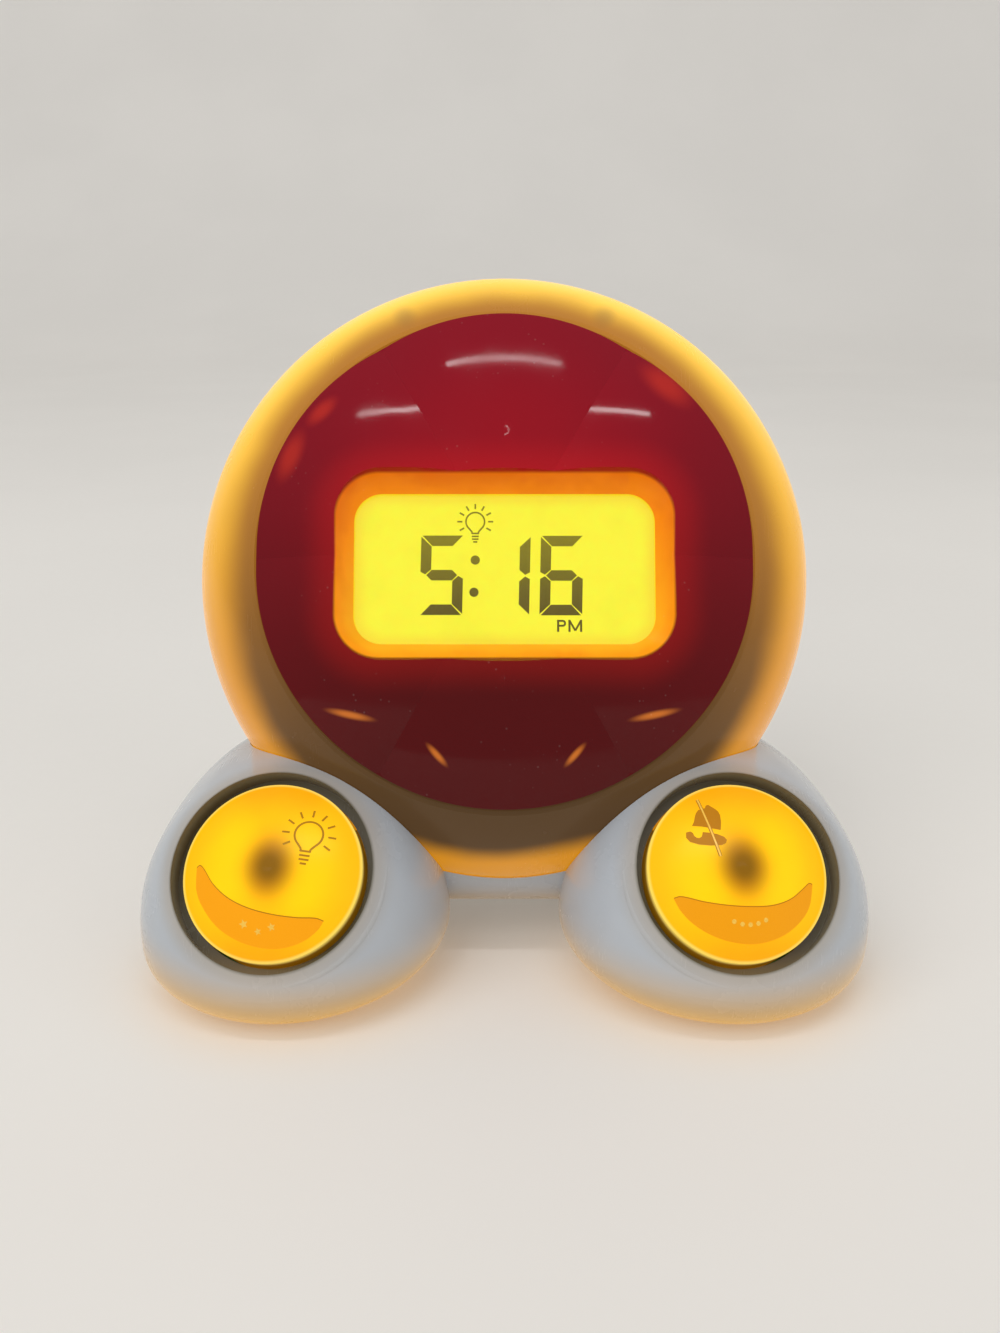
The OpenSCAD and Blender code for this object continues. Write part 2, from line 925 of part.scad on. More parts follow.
module lower_room(half, back, z_low, z_high) {
  translate([-foot_x + plate_shift, foot_y + frame_y, z_low])
    rotate([0, 0, foot_turn])
      linear_extrude(z_high - z_low)
        room_plan(half, back);
}

module foot_hollow() {
  in_foot()
    intersection() {
      translate([0, 0, foot_top - wall - hollow_r - 0.5])
        rotate([-90, 0, 0])
          rotate_extrude()
            hollow_profile();
      translate([-100, -100, 0])
        cube(200);
    }
  lower_room(plate_rx + 0.8, plate_back + 1.3, plate_z + plate_t + 0.2, 6);
  lower_room(plate_rx + 4.1, plate_back + 5, 5.2, foot_mid + 2.6);
}

module above(z) {
  translate([-200, -200, z])
    cube([400, 400, 300]);
}

module plate_outline(grow, z, t) {
  translate([-foot_x + plate_shift, foot_y + frame_y, z])
    rotate([0, 0, foot_turn])
      for (y = [-plate_front - grow, plate_back + grow])
        intersection() {
          scale([plate_rx + grow, abs(y), 1])
            cylinder(r = 1, h = t);
          translate([-100, y < 0 ? -100 : 0, -1])
            cube([200, 100, t + 2]);
        }
}

module bridge_bar(r, half) {
  translate([-half, bridge_y + frame_y, bridge_z])
    rotate([0, 90, 0])
      cylinder(r = r, h = 2 * half);
}

plate_posts = [[-10, 24], [10.5, 24]];
post_top = 14.5;
roof_z = 39.4;

module plate_post(i, r, z_low, z_high) {
  translate([-foot_x + plate_posts[i][0], foot_y + frame_y + plate_posts[i][1], z_low])
    cylinder(r = r, h = z_high - z_low, $fn = 48);
}

board_post_at = [135, 215, 335];

module board_posts(r, z_low, z_high) {
  in_button()
    for (a = board_post_at)
      rotate([0, 0, a])
        translate([well_r + 0.3, 0, z_low])
          cylinder(r = r, h = z_high - z_low, $fn = 48);
}

module button_rim() {
  in_button() {
    translate([0, 0, guide_top - guide_t])
      cylinder(r = well_r + 2.8, h = -guide_top + guide_t - 2.5);
    rotate_extrude()
      translate([well_r + 1.3, -2.5])
        circle(r = 1.5, $fn = 48);
  }
}

module egg_shell() {
  difference() {
    intersection() {
      egg();
      above(floor_z);
    }
    foot_hollow();
  }
}

// one screw boss reaches the roof, and a rib ties the low one to it
module plate_bosses() {
  plate_post(0, 2.8, plate_z + plate_t + 0.2, roof_z);
  plate_post(1, 2.8, plate_z + plate_t + 0.2, post_top);
  translate([-foot_x + plate_posts[0][0], foot_y + frame_y + plate_posts[0][1] - 0.8,
    plate_z + plate_t + 0.2])
    cube([plate_posts[1][0] - plate_posts[0][0], 1.6, post_top - 1.5 - plate_z - plate_t]);
}

module foot_cuts() {
  plate_outline(0.25, -1, plate_z + plate_t + 1.4);
  in_button() {
    translate([0, 0, guide_top])
      cylinder(r = well_r, h = 60);
    translate([0, 0, guide_top - guide_t - 1])
      cylinder(r = button_r + button_gap, h = 60);
  }
  board_posts(0.95, board_low, guide_top - 1.2);
}

module base_shell() {
  color(white) difference() {
    union() {
      for (s = [-1, 1])
        on_side(s) {
          egg_shell();
          button_rim();
          board_posts(1.9, board_low + board_t + 0.05, guide_top - guide_t + 0.1);
          plate_bosses();
        }
      bridge_bar(bridge_r, bridge_half);
    }
    difference() {
      bridge_bar(bridge_r - wall, bridge_half + 6);
      neck_post(4.2, 0, neck_z);
    }
    for (s = [-1, 1])
      on_side(s) {
        foot_cuts();
        for (i = [0, 1])
          plate_post(i, 1.1, 0, post_top - 2);
      }
    neck_post(1.7, 0, neck_z + 1);
    neck_post(3.9, neck_z, neck_top);
    neck_post(3.1, 0, bridge_z - bridge_r + 1.9);
    head_clear();
  }
}

module neck_screws() {
  color(steel)
    for (s = [-1, 1])
      translate([s * neck_x, neck_y + frame_y, bridge_z - bridge_r + 1.85])
        rotate([180, 0, 0])
          screw(2.7, 1.6, 1.36, 12);
}

pad_at = [[0, -10], [-12, 7], [12, 7], [0, 37]];

module foot_pads() {
  for (p = pad_at)
    translate([-foot_x + p[0], foot_y + frame_y + p[1], 0])
      cylinder(r = 4.6, h = plate_z + 0.7, $fn = 64);
}

module base_plate() {
  difference() {
    plate_outline(0, plate_z, plate_t);
    for (p = pad_at)
      translate([-foot_x + p[0], foot_y + frame_y + p[1], -1])
        cylinder(r = 4.7, h = plate_z + 1.8, $fn = 64);
    for (i = [0, 1]) {
      plate_post(i, 1.3, -1, 8);
      plate_post(i, 2.4, -1, plate_z + 1);
    }
  }
}

module left_base_plate() { color(white) on_side(-1) base_plate(); }
module right_base_plate() { color(white) on_side(1) base_plate(); }
module left_foot_pads() { color(black) on_side(-1) foot_pads(); }
module right_foot_pads() { color(black) on_side(1) foot_pads(); }

module base_plate_screws() {
  color(steel)
    for (s = [-1, 1])
      on_side(s)
        for (p = plate_posts)
          translate([-foot_x + p[0], foot_y + frame_y + p[1], plate_z + 0.95])
            rotate([180, 0, 0])
              screw(2.2, 0.9, 1.04, 8);
}

// ---------- push buttons ----------

ball_r = (button_r * button_r + button_rise * button_rise) / 2 / button_rise;
key_top = board_low + board_t + 3.2;

module push_button() {
  in_button() difference() {
    union() {
      rotate_extrude()
        intersection() {
          difference() {
            union() {
              translate([0, button_rise - ball_r])
                circle(r = ball_r, $fn = 128);
            }
            translate([0, button_rise - ball_r])
              circle(r = ball_r - 2, $fn = 128);
          }
          translate([0, -9])
            square([button_r, 20]);
        }
      rotate_extrude()
        intersection() {
          translate([button_r - 1.8, -9])
            square([1.8, 9.6]);
          translate([0, button_rise - ball_r])
            circle(r = ball_r - 0.1, $fn = 128);
        }
      translate([0, 0, key_top + button_travel + 0.15])
        cylinder(r = 2.4, h = button_rise - key_top - button_travel - 1.2, $fn = 48);
      for (i = [0:2])
        rotate([0, 0, 30 + 120 * i])
          translate([button_r - 1, -2, -7.6])
            cube([2, 4, guide_top - guide_t - 0.15 + 7.6]);
    }
  }
}

module button_board() {
  in_button() translate([0, 0, board_low]) difference() {
    cylinder(r = well_r + 2.2, h = board_t);
    translate([-50, -50 - 18.5, -1])
      cube([100, 50, 5]);
    rotate([0, 0, 64.4])
      translate([15.2, -50, -1])
        cube([50, 100, 5]);
    for (a = board_post_at)
      rotate([0, 0, a])
        translate([well_r + 0.3, 0, -1])
          cylinder(r = 1.1, h = 5, $fn = 32);
  }
}

module key_switch() {
  in_button() translate([0, 0, board_low + board_t + 0.05]) {
    translate([-3, -3, 0])
      cube([6, 6, 2.6]);
    cylinder(r = 1.7, h = 3.1, $fn = 48);
  }
}

module button_leds() {
  in_button()
    for (i = [0:3])
      rotate([0, 0, 45 + 90 * i])
        translate([11, 0, board_low + board_t + 0.05]) {
          cylinder(r = 2.5, h = 3.4, $fn = 48);
          translate([0, 0, 3.4])
            sphere(r = 2.4, $fn = 48);
        }
}

module board_screws() {
  in_button()
    for (a = board_post_at)
      rotate([0, 0, a])
        translate([well_r + 0.3, 0, board_low - 0.05])
          rotate([180, 0, 0])
            screw(1.9, 1.2, 0.9, 6);
}

module left_button() { color(amber) on_side(-1) push_button(); }
module right_button() { color(amber) on_side(1) push_button(); }
module left_button_board() { color(green) on_side(-1) button_board(); }
module right_button_board() { color(green) on_side(1) button_board(); }
module left_key_switch() { color(black) on_side(-1) key_switch(); }
module right_key_switch() { color(black) on_side(1) key_switch(); }
module left_button_leds() { color(amber) on_side(-1) button_leds(); }
module right_button_leds() { color(amber) on_side(1) button_leds(); }
module left_board_screws() { color(steel) on_side(-1) board_screws(); }
module right_board_screws() { color(steel) on_side(1) board_screws(); }

// ---------- cables ----------

// a cable run through points, with a slightly larger ball at each bend
module cable_run(points, r) {
  for (i = [0:len(points) - 2]) {
    d = points[i + 1] - points[i];
    translate(points[i])
      rotate([0, acos(d[2] / norm(d)), atan2(d[1], d[0])])
        cylinder(r = r, h = norm(d), $fn = 24);
  }
  for (i = [1:len(points) - 2])
    translate(points[i])
      sphere(r = r * 1.08, $fn = 24);
}

module foot_cables() {
  color(black)
    for (s = [-1, 1])
      on_side(s) {
        in_head()
          cable_run([[-33, -14, board_z - 0.6], [-34, -16, 7], [-37, -18, 1], [-40, -24, -5],
            [-41, -33, -10], [-38.4, -42, -12], [-38, -57.6, -12]], 1.2);
        translate([0, frame_y, 0])
          cable_run([[-38, -12.2, 17.1], [-40, -22, 16.4], [-43, -38.9, 19.3]], 1.2);
      }
}

front_housing();
face_cover();
display_lens();
lcd_panel();
lcd_backlight();
lcd_holder();
lcd_contact_strips();
main_board();
main_board_parts();
main_board_screws();
light_ring_board();
night_light_leds();
light_ring_screws();
rear_housing();
speaker();
speaker_clamp();
set_board();
set_key_switches();
slide_switches();
rear_small_screws();
time_button();
alarm_button();
wake_button();
down_button();
up_button();
alarm_slide_knob();
light_slide_knob();
battery_door();
battery_door_screw();
battery_cells();
battery_contacts();
battery_springs();
face_screws();
housing_screws();
base_shell();
left_base_plate();
right_base_plate();
left_foot_pads();
right_foot_pads();
left_button();
right_button();
left_button_board();
right_button_board();
left_key_switch();
right_key_switch();
left_button_leds();
right_button_leds();
left_board_screws();
right_board_screws();
base_plate_screws();
neck_screws();
foot_cables();
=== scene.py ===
"""A kids' alarm clock with night light: its finishes, its display figures, its button signs and a studio."""

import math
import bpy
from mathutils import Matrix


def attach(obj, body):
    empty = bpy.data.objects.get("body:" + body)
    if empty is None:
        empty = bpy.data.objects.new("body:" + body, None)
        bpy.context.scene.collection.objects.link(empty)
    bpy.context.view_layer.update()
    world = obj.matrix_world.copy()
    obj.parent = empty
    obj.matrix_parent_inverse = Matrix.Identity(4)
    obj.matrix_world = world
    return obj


bl_info = {
    "name": "Night Light Alarm Clock",
    "version": (1, 0, 0),
    "blender": (4, 5, 0),
    "location": "3D View > Sidebar > Clock",
    "description": "Finishes, display figures, button signs and a studio for a packed alarm clock",
    "category": "Object",
}

import bmesh
import bpy
from bpy.props import FloatProperty, FloatVectorProperty, IntProperty, PointerProperty
from mathutils import Matrix, Vector

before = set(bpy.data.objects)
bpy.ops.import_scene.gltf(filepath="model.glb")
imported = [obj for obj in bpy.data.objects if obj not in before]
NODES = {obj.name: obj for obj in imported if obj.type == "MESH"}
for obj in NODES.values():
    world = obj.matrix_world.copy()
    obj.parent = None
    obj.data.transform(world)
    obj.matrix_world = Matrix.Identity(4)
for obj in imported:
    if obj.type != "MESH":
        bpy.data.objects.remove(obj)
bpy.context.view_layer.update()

MM = 0.001


def turned(x, y, z, about_x, about_z=0.0):
    """A place in metres, tipped about X and then swung about Z, both in degrees."""
    return (
        Matrix.Translation((x, y, z))
        @ Matrix.Rotation(math.radians(about_z), 4, "Z")
        @ Matrix.Rotation(math.radians(about_x), 4, "X")
    )


# The head's own axis points out of the display, its Y runs up the face.
HEAD = turned(0, 0.0109, 0.074, 65.9)
DISPLAY = HEAD @ Matrix.Translation((0, -0.0019, 0))
BUTTONS = {
    "left": turned(-0.0441, -0.0403, 0.0304, 47.5, -5.1),
    "right": turned(0.0441, -0.0403, 0.0304, 47.5, 5.1),
}
WORLD_MM = Matrix.Identity(4)


def paint(code):
    """Linear colour of a six-digit sRGB code."""
    out = []
    for i in (0, 2, 4):
        c = int(code[i : i + 2], 16) / 255
        out.append(c / 12.92 if c <= 0.04045 else ((c + 0.055) / 1.055) ** 2.4)
    return tuple(out)


# ---------- sizes and colours that a user may change ----------


def colour_setting(name, code, text):
    """A colour, given as a six-digit code."""
    return FloatVectorProperty(
        name=name, description=text, default=paint(code), subtype="COLOR", min=0, max=1, size=3
    )


def length_setting(name, size, least, most, text):
    """A length, given in millimetres with its limits."""
    return FloatProperty(
        name=name, description=text, default=size * MM, min=least * MM, max=most * MM, unit="LENGTH"
    )


def strength_setting(name, strength, most, text):
    """The strength of a glow or an even light."""
    return FloatProperty(name=name, description=text, default=strength, min=0, max=most)


def power_setting(name, watts, text):
    """The power of a lamp."""
    return FloatProperty(name=name, description=text, default=watts, min=0, subtype="POWER")


class ClockFinishSettings(bpy.types.PropertyGroup):
    ring_shade: colour_setting("Ring, in shade", "4c3416", "Ring low down, where no lamp light reaches it")
    ring_milk: colour_setting("Ring, milky", "a86e22", "Ring next to the face, with little lamp light")
    ring_amber: colour_setting("Ring, amber", "cc860a", "Rim low down, where the night light is weaker")
    ring_glow: colour_setting("Ring, bright", "ffca34", "Rim at the top, where the night light is strongest")
    face: colour_setting("Face", "96081c", "Clear red plastic of the lobed face")
    base: colour_setting("Base", "bcc2c9", "White plastic of the base and feet")
    base_glow: colour_setting("Base glow", "d89c1c", "Lamp light in the lower edge of the feet")
    rear: colour_setting("Rear housing", "e2dfd4", "White plastic of the rear housing")
    button: colour_setting("Push buttons", "ffd002", "Amber plastic of the two push buttons")
    display: colour_setting("Display", "faf41e", "Colour of the lit display")
    figures: colour_setting("Figures", "8a7008", "Colour of the display's figures")
    ring_light: strength_setting("Ring light", 0.8, 2, "Strength of the ring's glow")
    button_light: strength_setting("Button light", 0.68, 2, "Strength of the buttons' glow")
    display_light: strength_setting("Display light", 0.97, 2, "Strength of the display's glow")


class ClockFigureSettings(bpy.types.PropertyGroup):
    height: length_setting("Figure height", 15.9, 8, 20, "Height of a figure on the display")
    width: length_setting("Figure width", 8.46, 4, 12, "Width of a figure on the display")
    stroke: length_setting("Figure stroke", 2.1, 0.8, 3, "Width of one segment")
    gap: length_setting("Segment gap", 0.2, 0.05, 0.6, "Gap between two segments")
    slant: FloatProperty(
        name="Slant", description="Lean of the figures", default=math.radians(1.3), min=0, max=0.3,
        subtype="ANGLE",
    )
    ink: length_setting("Figure thickness", 0.06, 0.02, 0.15, "Thickness of the figures' layer")


class ClockSignSettings(bpy.types.PropertyGroup):
    dome_width: length_setting("Button diameter", 34.4, 25, 45, "Diameter of a push button")
    dome_rise: length_setting("Button rise", 4.2, 2, 8, "Height of a push button's dome")
    line: length_setting("Line", 0.38, 0.1, 1, "Width of a sign's line")
    lift: length_setting("Lift", 0.07, 0.02, 0.3, "How far a sign stands above the dome")


class ClockStudioSettings(bpy.types.PropertyGroup):
    floor: colour_setting("Floor", "e2dfda", "Pale floor and backdrop")
    key_power: power_setting("Key lamp", 14.0, "Power of the large soft key lamp")
    fill_power: power_setting("Fill lamp", 3.0, "Power of the large soft fill lamp")
    strip_power: power_setting("Strip lamp", 2.2, "Power of the long narrow lamp above")
    sky: strength_setting("Sky", 0.5, 10, "Strength of the even light from all round")
    paper_lift: strength_setting("Backdrop lift", 0.2, 1, "How much paler the floor and backdrop show")
    lens: FloatProperty(name="Lens", description="Focal length of the camera", default=32.41, min=10, max=200)
    bend_steps: IntProperty(name="Sweep steps", description="Steps of the backdrop's bend", default=16, min=4)


# ---------- shader nodes ----------


class Shader:
    """Puts nodes in a shader tree and joins them up."""

    def __init__(self, tree):
        self.tree = tree

    def add(self, kind, inputs=None, **settings):
        node = self.tree.nodes.new("ShaderNode" + kind)
        for key, value in settings.items():
            setattr(node, key, value)
        for key, value in (inputs or {}).items():
            self.feed(node.inputs[key], value)
        return node

    def feed(self, socket, value):
        """Joins another socket to this one, or sets its value; three numbers are a solid colour."""
        if isinstance(value, bpy.types.NodeSocket):
            self.tree.links.new(value, socket)
        elif socket.type == "RGBA":
            socket.default_value = (*tuple(value)[:3], 1.0)
        else:
            socket.default_value = value

    def maths(self, operation, *values, clamp=False):
        return self.add("Math", dict(enumerate(values)), operation=operation, use_clamp=clamp).outputs[0]

    def plus(self, a, b, clamp=False):
        return self.maths("ADD", a, b, clamp=clamp)

    def times(self, a, b):
        return self.maths("MULTIPLY", a, b)

    def vector(self, operation, *values, out=0):
        return self.add("VectorMath", dict(enumerate(values)), operation=operation).outputs[out]

    def slope(self, value, low, high, low_out=0.0, high_out=1.0, shape="SMOOTHSTEP"):
        """Takes a value from one range to another, and holds it at the ends."""
        ranges = {"From Min": low, "From Max": high, "To Min": low_out, "To Max": high_out}
        return self.add("MapRange", {"Value": value, **ranges}, interpolation_type=shape).outputs[0]

    def mix(self, factor, a, b, blend="MIX"):
        node = self.add("Mix", data_type="RGBA", blend_type=blend, clamp_factor=True)
        for key, value in ((0, factor), (6, a), (7, b)):
            self.feed(node.inputs[key], value)
        return node.outputs[2]

    def noise(self, vector, scale, detail=2.0, rough=0.5):
        return self.add(
            "TexNoise", {"Vector": vector, "Scale": scale, "Detail": detail, "Roughness": rough}
        ).outputs[0]

    def split(self, vector):
        return self.add("SeparateXYZ", {0: vector}).outputs

    def join(self, x, y, z):
        return self.add("CombineXYZ", {0: x, 1: y, 2: z}).outputs[0]

    def local(self, place):
        """Millimetres in a place's own directions, from the piece's object coordinates."""
        at = self.add("TexCoord").outputs["Object"]
        axes = {"Location": place.to_translation(), "Rotation": place.to_euler("XYZ"), "Scale": (MM, MM, MM)}
        return self.add("Mapping", {"Vector": at, **axes}, vector_type="TEXTURE").outputs[0]

    def group(self, name, **inputs):
        node = self.add("Group", node_tree=bpy.data.node_groups[name])
        for key, value in inputs.items():
            self.feed(node.inputs[key.replace("_", " ").capitalize()], value)
        return node.outputs


def new_group(name, inputs, outputs):
    """An empty shader group. An input is a vector, which has no value here, a colour or a number."""
    tree = bpy.data.node_groups.new(name, "ShaderNodeTree")
    for label, value in inputs.items():
        kind = "Vector" if value is None else "Color" if isinstance(value, tuple) else "Float"
        socket = tree.interface.new_socket(label, in_out="INPUT", socket_type="NodeSocket" + kind)
        if value is not None:
            socket.default_value = value
    for label in outputs:
        kind = "Color" if label == "Colour" else "Float"
        tree.interface.new_socket(label, in_out="OUTPUT", socket_type="NodeSocket" + kind)
    start = tree.nodes.new("NodeGroupInput")
    end = tree.nodes.new("NodeGroupOutput")
    return Shader(tree), start.outputs, end.inputs


def make_moulded_group():
    """Fine mould grain, soft smudges and dust for plastic, as colour, roughness and height."""
    skin = {"Vector": None, "Colour": (0.8, 0.8, 0.8, 1), "Roughness": 0.3}
    marks = {"Grain size": 0.35, "Smudge": 0.1, "Dust": 0.1}
    s, given, out = new_group("moulded surface", {**skin, **marks}, ("Colour", "Roughness", "Height"))
    at = given["Vector"]
    fine = s.noise(at, s.maths("DIVIDE", 1.0, given["Grain size"]), 3.0, 0.6)
    wide = s.noise(at, 0.06, 4.0, 0.6)
    flow = s.noise(at, 0.018)
    rub = s.slope(wide, 0.44, 0.66)
    specks = s.add("TexVoronoi", {"Vector": at, "Scale": 0.55}, feature="F1").outputs["Distance"]
    speck = s.times(s.slope(specks, 0.05, 0.16, 1.0, 0.0), s.slope(wide, 0.5, 0.62))
    dust = s.times(speck, given["Dust"])
    shade = s.plus(s.slope(flow, 0.3, 0.7, 0.965, 1.02), s.times(fine, 0.02))
    tinted = s.mix(1.0, given["Colour"], s.join(shade, shade, shade), "MULTIPLY")
    s.feed(out["Colour"], s.mix(dust, tinted, (0.62, 0.6, 0.56)))
    rough = s.plus(given["Roughness"], s.times(rub, given["Smudge"]))
    s.feed(out["Roughness"], s.plus(rough, s.times(dust, 0.4), clamp=True))
    s.feed(out["Height"], s.plus(fine, s.times(speck, 0.5)))


def make_round_group():
    """Distance from the axis, height up the face as a share of that distance, and depth."""
    s, given, out = new_group("round measure", {"Vector": None}, ("Radius", "Upward", "Depth"))
    x, y, z = s.split(given["Vector"])
    radius = s.vector("LENGTH", s.join(x, y, 0.0), out=1)
    s.feed(out["Radius"], radius)
    s.feed(out["Upward"], s.maths("DIVIDE", y, s.maths("MAXIMUM", radius, 0.01)))
    s.feed(out["Depth"], z)


def make_window_group():
    """Distance outside the display's rounded window, in millimetres."""
    window = {"Vector": None, "Half width": 29.8, "Half height": 15.0, "Corner": 5.6}
    s, given, out = new_group("window distance", window, ("Distance",))
    x, y, _ = s.split(given["Vector"])
    sides = []
    for value, half in ((x, given["Half width"]), (y, given["Half height"])):
        inner = s.maths("SUBTRACT", half, given["Corner"])
        sides.append(s.maths("MAXIMUM", s.maths("SUBTRACT", s.maths("ABSOLUTE", value), inner), 0.0))
    length = s.vector("LENGTH", s.join(*sides, 0.0), out=1)
    s.feed(out["Distance"], s.maths("SUBTRACT", length, given["Corner"]))


def make_spot_group():
    """Soft oval spot on a surface, for painted light and painted shade."""
    spot = {"Vector": None, "Centre": None, "Reach": None, "Turn": 0.0}
    s, given, out = new_group("soft spot", spot, ("Mask",))
    moved = s.vector("SUBTRACT", given["Vector"], given["Centre"])
    turn = {"Vector": moved, "Angle": given["Turn"]}
    swung = s.add("VectorRotate", turn, rotation_type="Z_AXIS").outputs[0]
    away = s.vector("LENGTH", s.vector("DIVIDE", swung, given["Reach"]), out=1)
    s.feed(out["Mask"], s.slope(away, 0.15, 1.0, 1.0, 0.0))


def make_scuff_group():
    """Fine crossing scratches, as a mask and a height."""
    s, given, out = new_group("scuffs", {"Vector": None, "Amount": 0.5}, ("Mask", "Height"))
    hairs = []
    for turn, stretch in ((0.4, 0.03), (2.0, 0.025)):
        drawn_out = {"Vector": given["Vector"], "Rotation": (0.3, turn, turn), "Scale": (1.6, stretch, 0.2)}
        along = s.add("Mapping", drawn_out).outputs[0]
        hairs.append(s.slope(s.noise(along, 2.0, 2.0, 0.4), 0.63, 0.68))
    patch = s.slope(s.noise(given["Vector"], 0.09), 0.5, 0.65)
    mask = s.times(s.times(s.maths("MAXIMUM", *hairs), patch), given["Amount"])
    s.feed(out["Mask"], mask)
    s.feed(out["Height"], s.times(mask, -1.0))


class Finish(Shader):
    """A new material with nothing but its surface, and what dresses that surface."""

    def __init__(self, name):
        self.material = bpy.data.materials.new(name)
        self.material.use_nodes = True
        super().__init__(self.material.node_tree)
        self.tree.nodes.clear()
        self.surface = self.add("BsdfPrincipled")
        end = self.add("OutputMaterial")
        self.feed(end.inputs["Surface"], self.surface.outputs[0])

    def put(self, name, value):
        """Joins a value that changes over the piece to the surface."""
        self.feed(self.surface.inputs[name], value)

    def plain(self, **values):
        """Constant values, set on the surface's own sockets."""
        for key, value in values.items():
            self.put(key.replace("_", " ").title().replace("Ior", "IOR"), value)

    def relief(self, height, strength, depth):
        """Relief from a height, with its depth in millimetres."""
        bump = self.add("Bump", {"Height": height, "Strength": strength, "Distance": depth * MM})
        self.put("Normal", bump.outputs[0])

    def mould(self, at, colour, rough, grain=0.35, depth=0.012, smudge=0.1, dust=0.1, scuff=0.25, dim=None):
        """A moulded piece. One that is lit is dimmed, as it reflects less of its colour."""
        wear = {"grain_size": grain, "smudge": smudge, "dust": dust}
        skin = self.group("moulded surface", vector=at, colour=colour, roughness=rough, **wear)
        marks = self.group("scuffs", vector=at, amount=scuff)
        self.put("Base Color", self.mix(1.0, skin["Colour"], dim, "MULTIPLY") if dim else skin["Colour"])
        self.put("Roughness", self.plus(skin["Roughness"], self.times(marks["Mask"], 0.25), clamp=True))
        self.relief(self.plus(skin["Height"], marks["Height"]), 0.5, depth)


# ---------- materials of the clock ----------

BLACK = (0.0, 0.0, 0.0)
LIT_DIM = (0.46, 0.46, 0.46)

# Painted shadows at the top of the ring's glow, in millimetres on the head; each is swung to point at the
# middle.
RING_SHADOW_SIDES = (-20.3, 20.3)
RING_SHADOW_HEIGHT = 50.2
RING_SHADOW_DEPTH = 18.0
RING_SHADOW_REACH = (3.2, 4.6, 30.0)
RING_SHADOW_RADIUS = 54.0


def ring_plastic(set_up):
    """Milky ring: dull next to the face, glowing amber towards the rim, most of all at the top, with painted
    shade low down and two painted shadows at the top.
    """
    s = Finish("ring_plastic")
    at = s.local(HEAD)
    polar = s.group("round measure", vector=at)
    wobble = s.times(s.maths("SUBTRACT", s.noise(at, 0.05), 0.5), 3.0)
    radius = s.plus(polar["Radius"], wobble)
    up = polar["Upward"]
    dull = s.mix(s.slope(up, -0.95, 0.6), set_up.ring_shade, set_up.ring_milk)
    bright = s.mix(s.slope(up, -0.5, 0.95), set_up.ring_amber, set_up.ring_glow)
    start = s.slope(up, -0.95, 0.0, 56.5, 50.5)
    reach = s.slope(up, -0.95, 0.0, 4.5, 9.5)
    share = s.slope(s.maths("DIVIDE", s.maths("SUBTRACT", radius, start), reach), 0.0, 1.0)
    lit = s.mix(share, dull, bright)
    # Two painted shadows darken the glow at the top of the ring.
    for x in RING_SHADOW_SIDES:
        centre = (x, RING_SHADOW_HEIGHT, RING_SHADOW_DEPTH)
        ring_shadow = s.group("soft spot", vector=at, centre=centre, reach=RING_SHADOW_REACH, turn=x / RING_SHADOW_RADIUS)
        lit = s.mix(s.times(ring_shadow["Mask"], 0.35), lit, (0.21, 0.11, 0.03))
    s.mould(at, lit, 0.2, grain=0.5, depth=0.008, smudge=0.08, dust=0.05, scuff=0.15, dim=(0.50, 0.50, 0.52))
    s.put("Emission Color", lit)
    s.plain(emission_strength=set_up.ring_light, coat_weight=0.15, coat_roughness=0.06, ior=1.35)
    return s.material


def rear_plastic(set_up):
    """White rear housing that catches the night light next to the seam."""
    s = Finish("rear_plastic")
    at = s.local(HEAD)
    polar = s.group("round measure", vector=at)
    near = s.slope(polar["Depth"], -22.0, 0.0)
    up = s.slope(polar["Upward"], -0.9, 0.8, 0.25, 1.0)
    edge = s.slope(polar["Radius"], 50.0, 64.0)
    lit = s.times(s.times(near, up), edge)
    colour = s.mix(s.times(lit, 0.8), set_up.rear, set_up.ring_amber)
    s.mould(at, colour, 0.36, grain=0.6, depth=0.02, dust=0.18, scuff=0.35)
    s.put("Emission Color", s.mix(lit, BLACK, set_up.ring_glow))
    s.plain(emission_strength=set_up.ring_light * 0.7, coat_weight=0.15, coat_roughness=0.15, ior=1.5)
    return s.material


# Painted reflections of the lit buttons in the lower lobes of the face, and painted lamp light leaking
# through near its rim,
# in millimetres on the head: middle, half length and half width, and lean in degrees.
FACE_BUTTON_REFLECTIONS = (
    ((-29.8, -30.9), (6.0, 1.0), -12.0),
    ((28.9, -30.9), (6.0, 1.0), 12.0),
    ((-13.0, -38.6), (3.6, 0.9), -48.0),
    ((13.5, -38.6), (3.6, 0.9), 48.0),
)
FACE_LIGHT_LEAKS = (
    ((32.0, 34.5), (8.0, 4.0), -42.0),
    ((-42.0, 20.0), (3.0, 7.0), -22.0),
    ((-36.0, 29.0), (5.0, 2.4), 45.0),
)
FACE_DEPTH = 28.0
FACE_REACH = 40.0


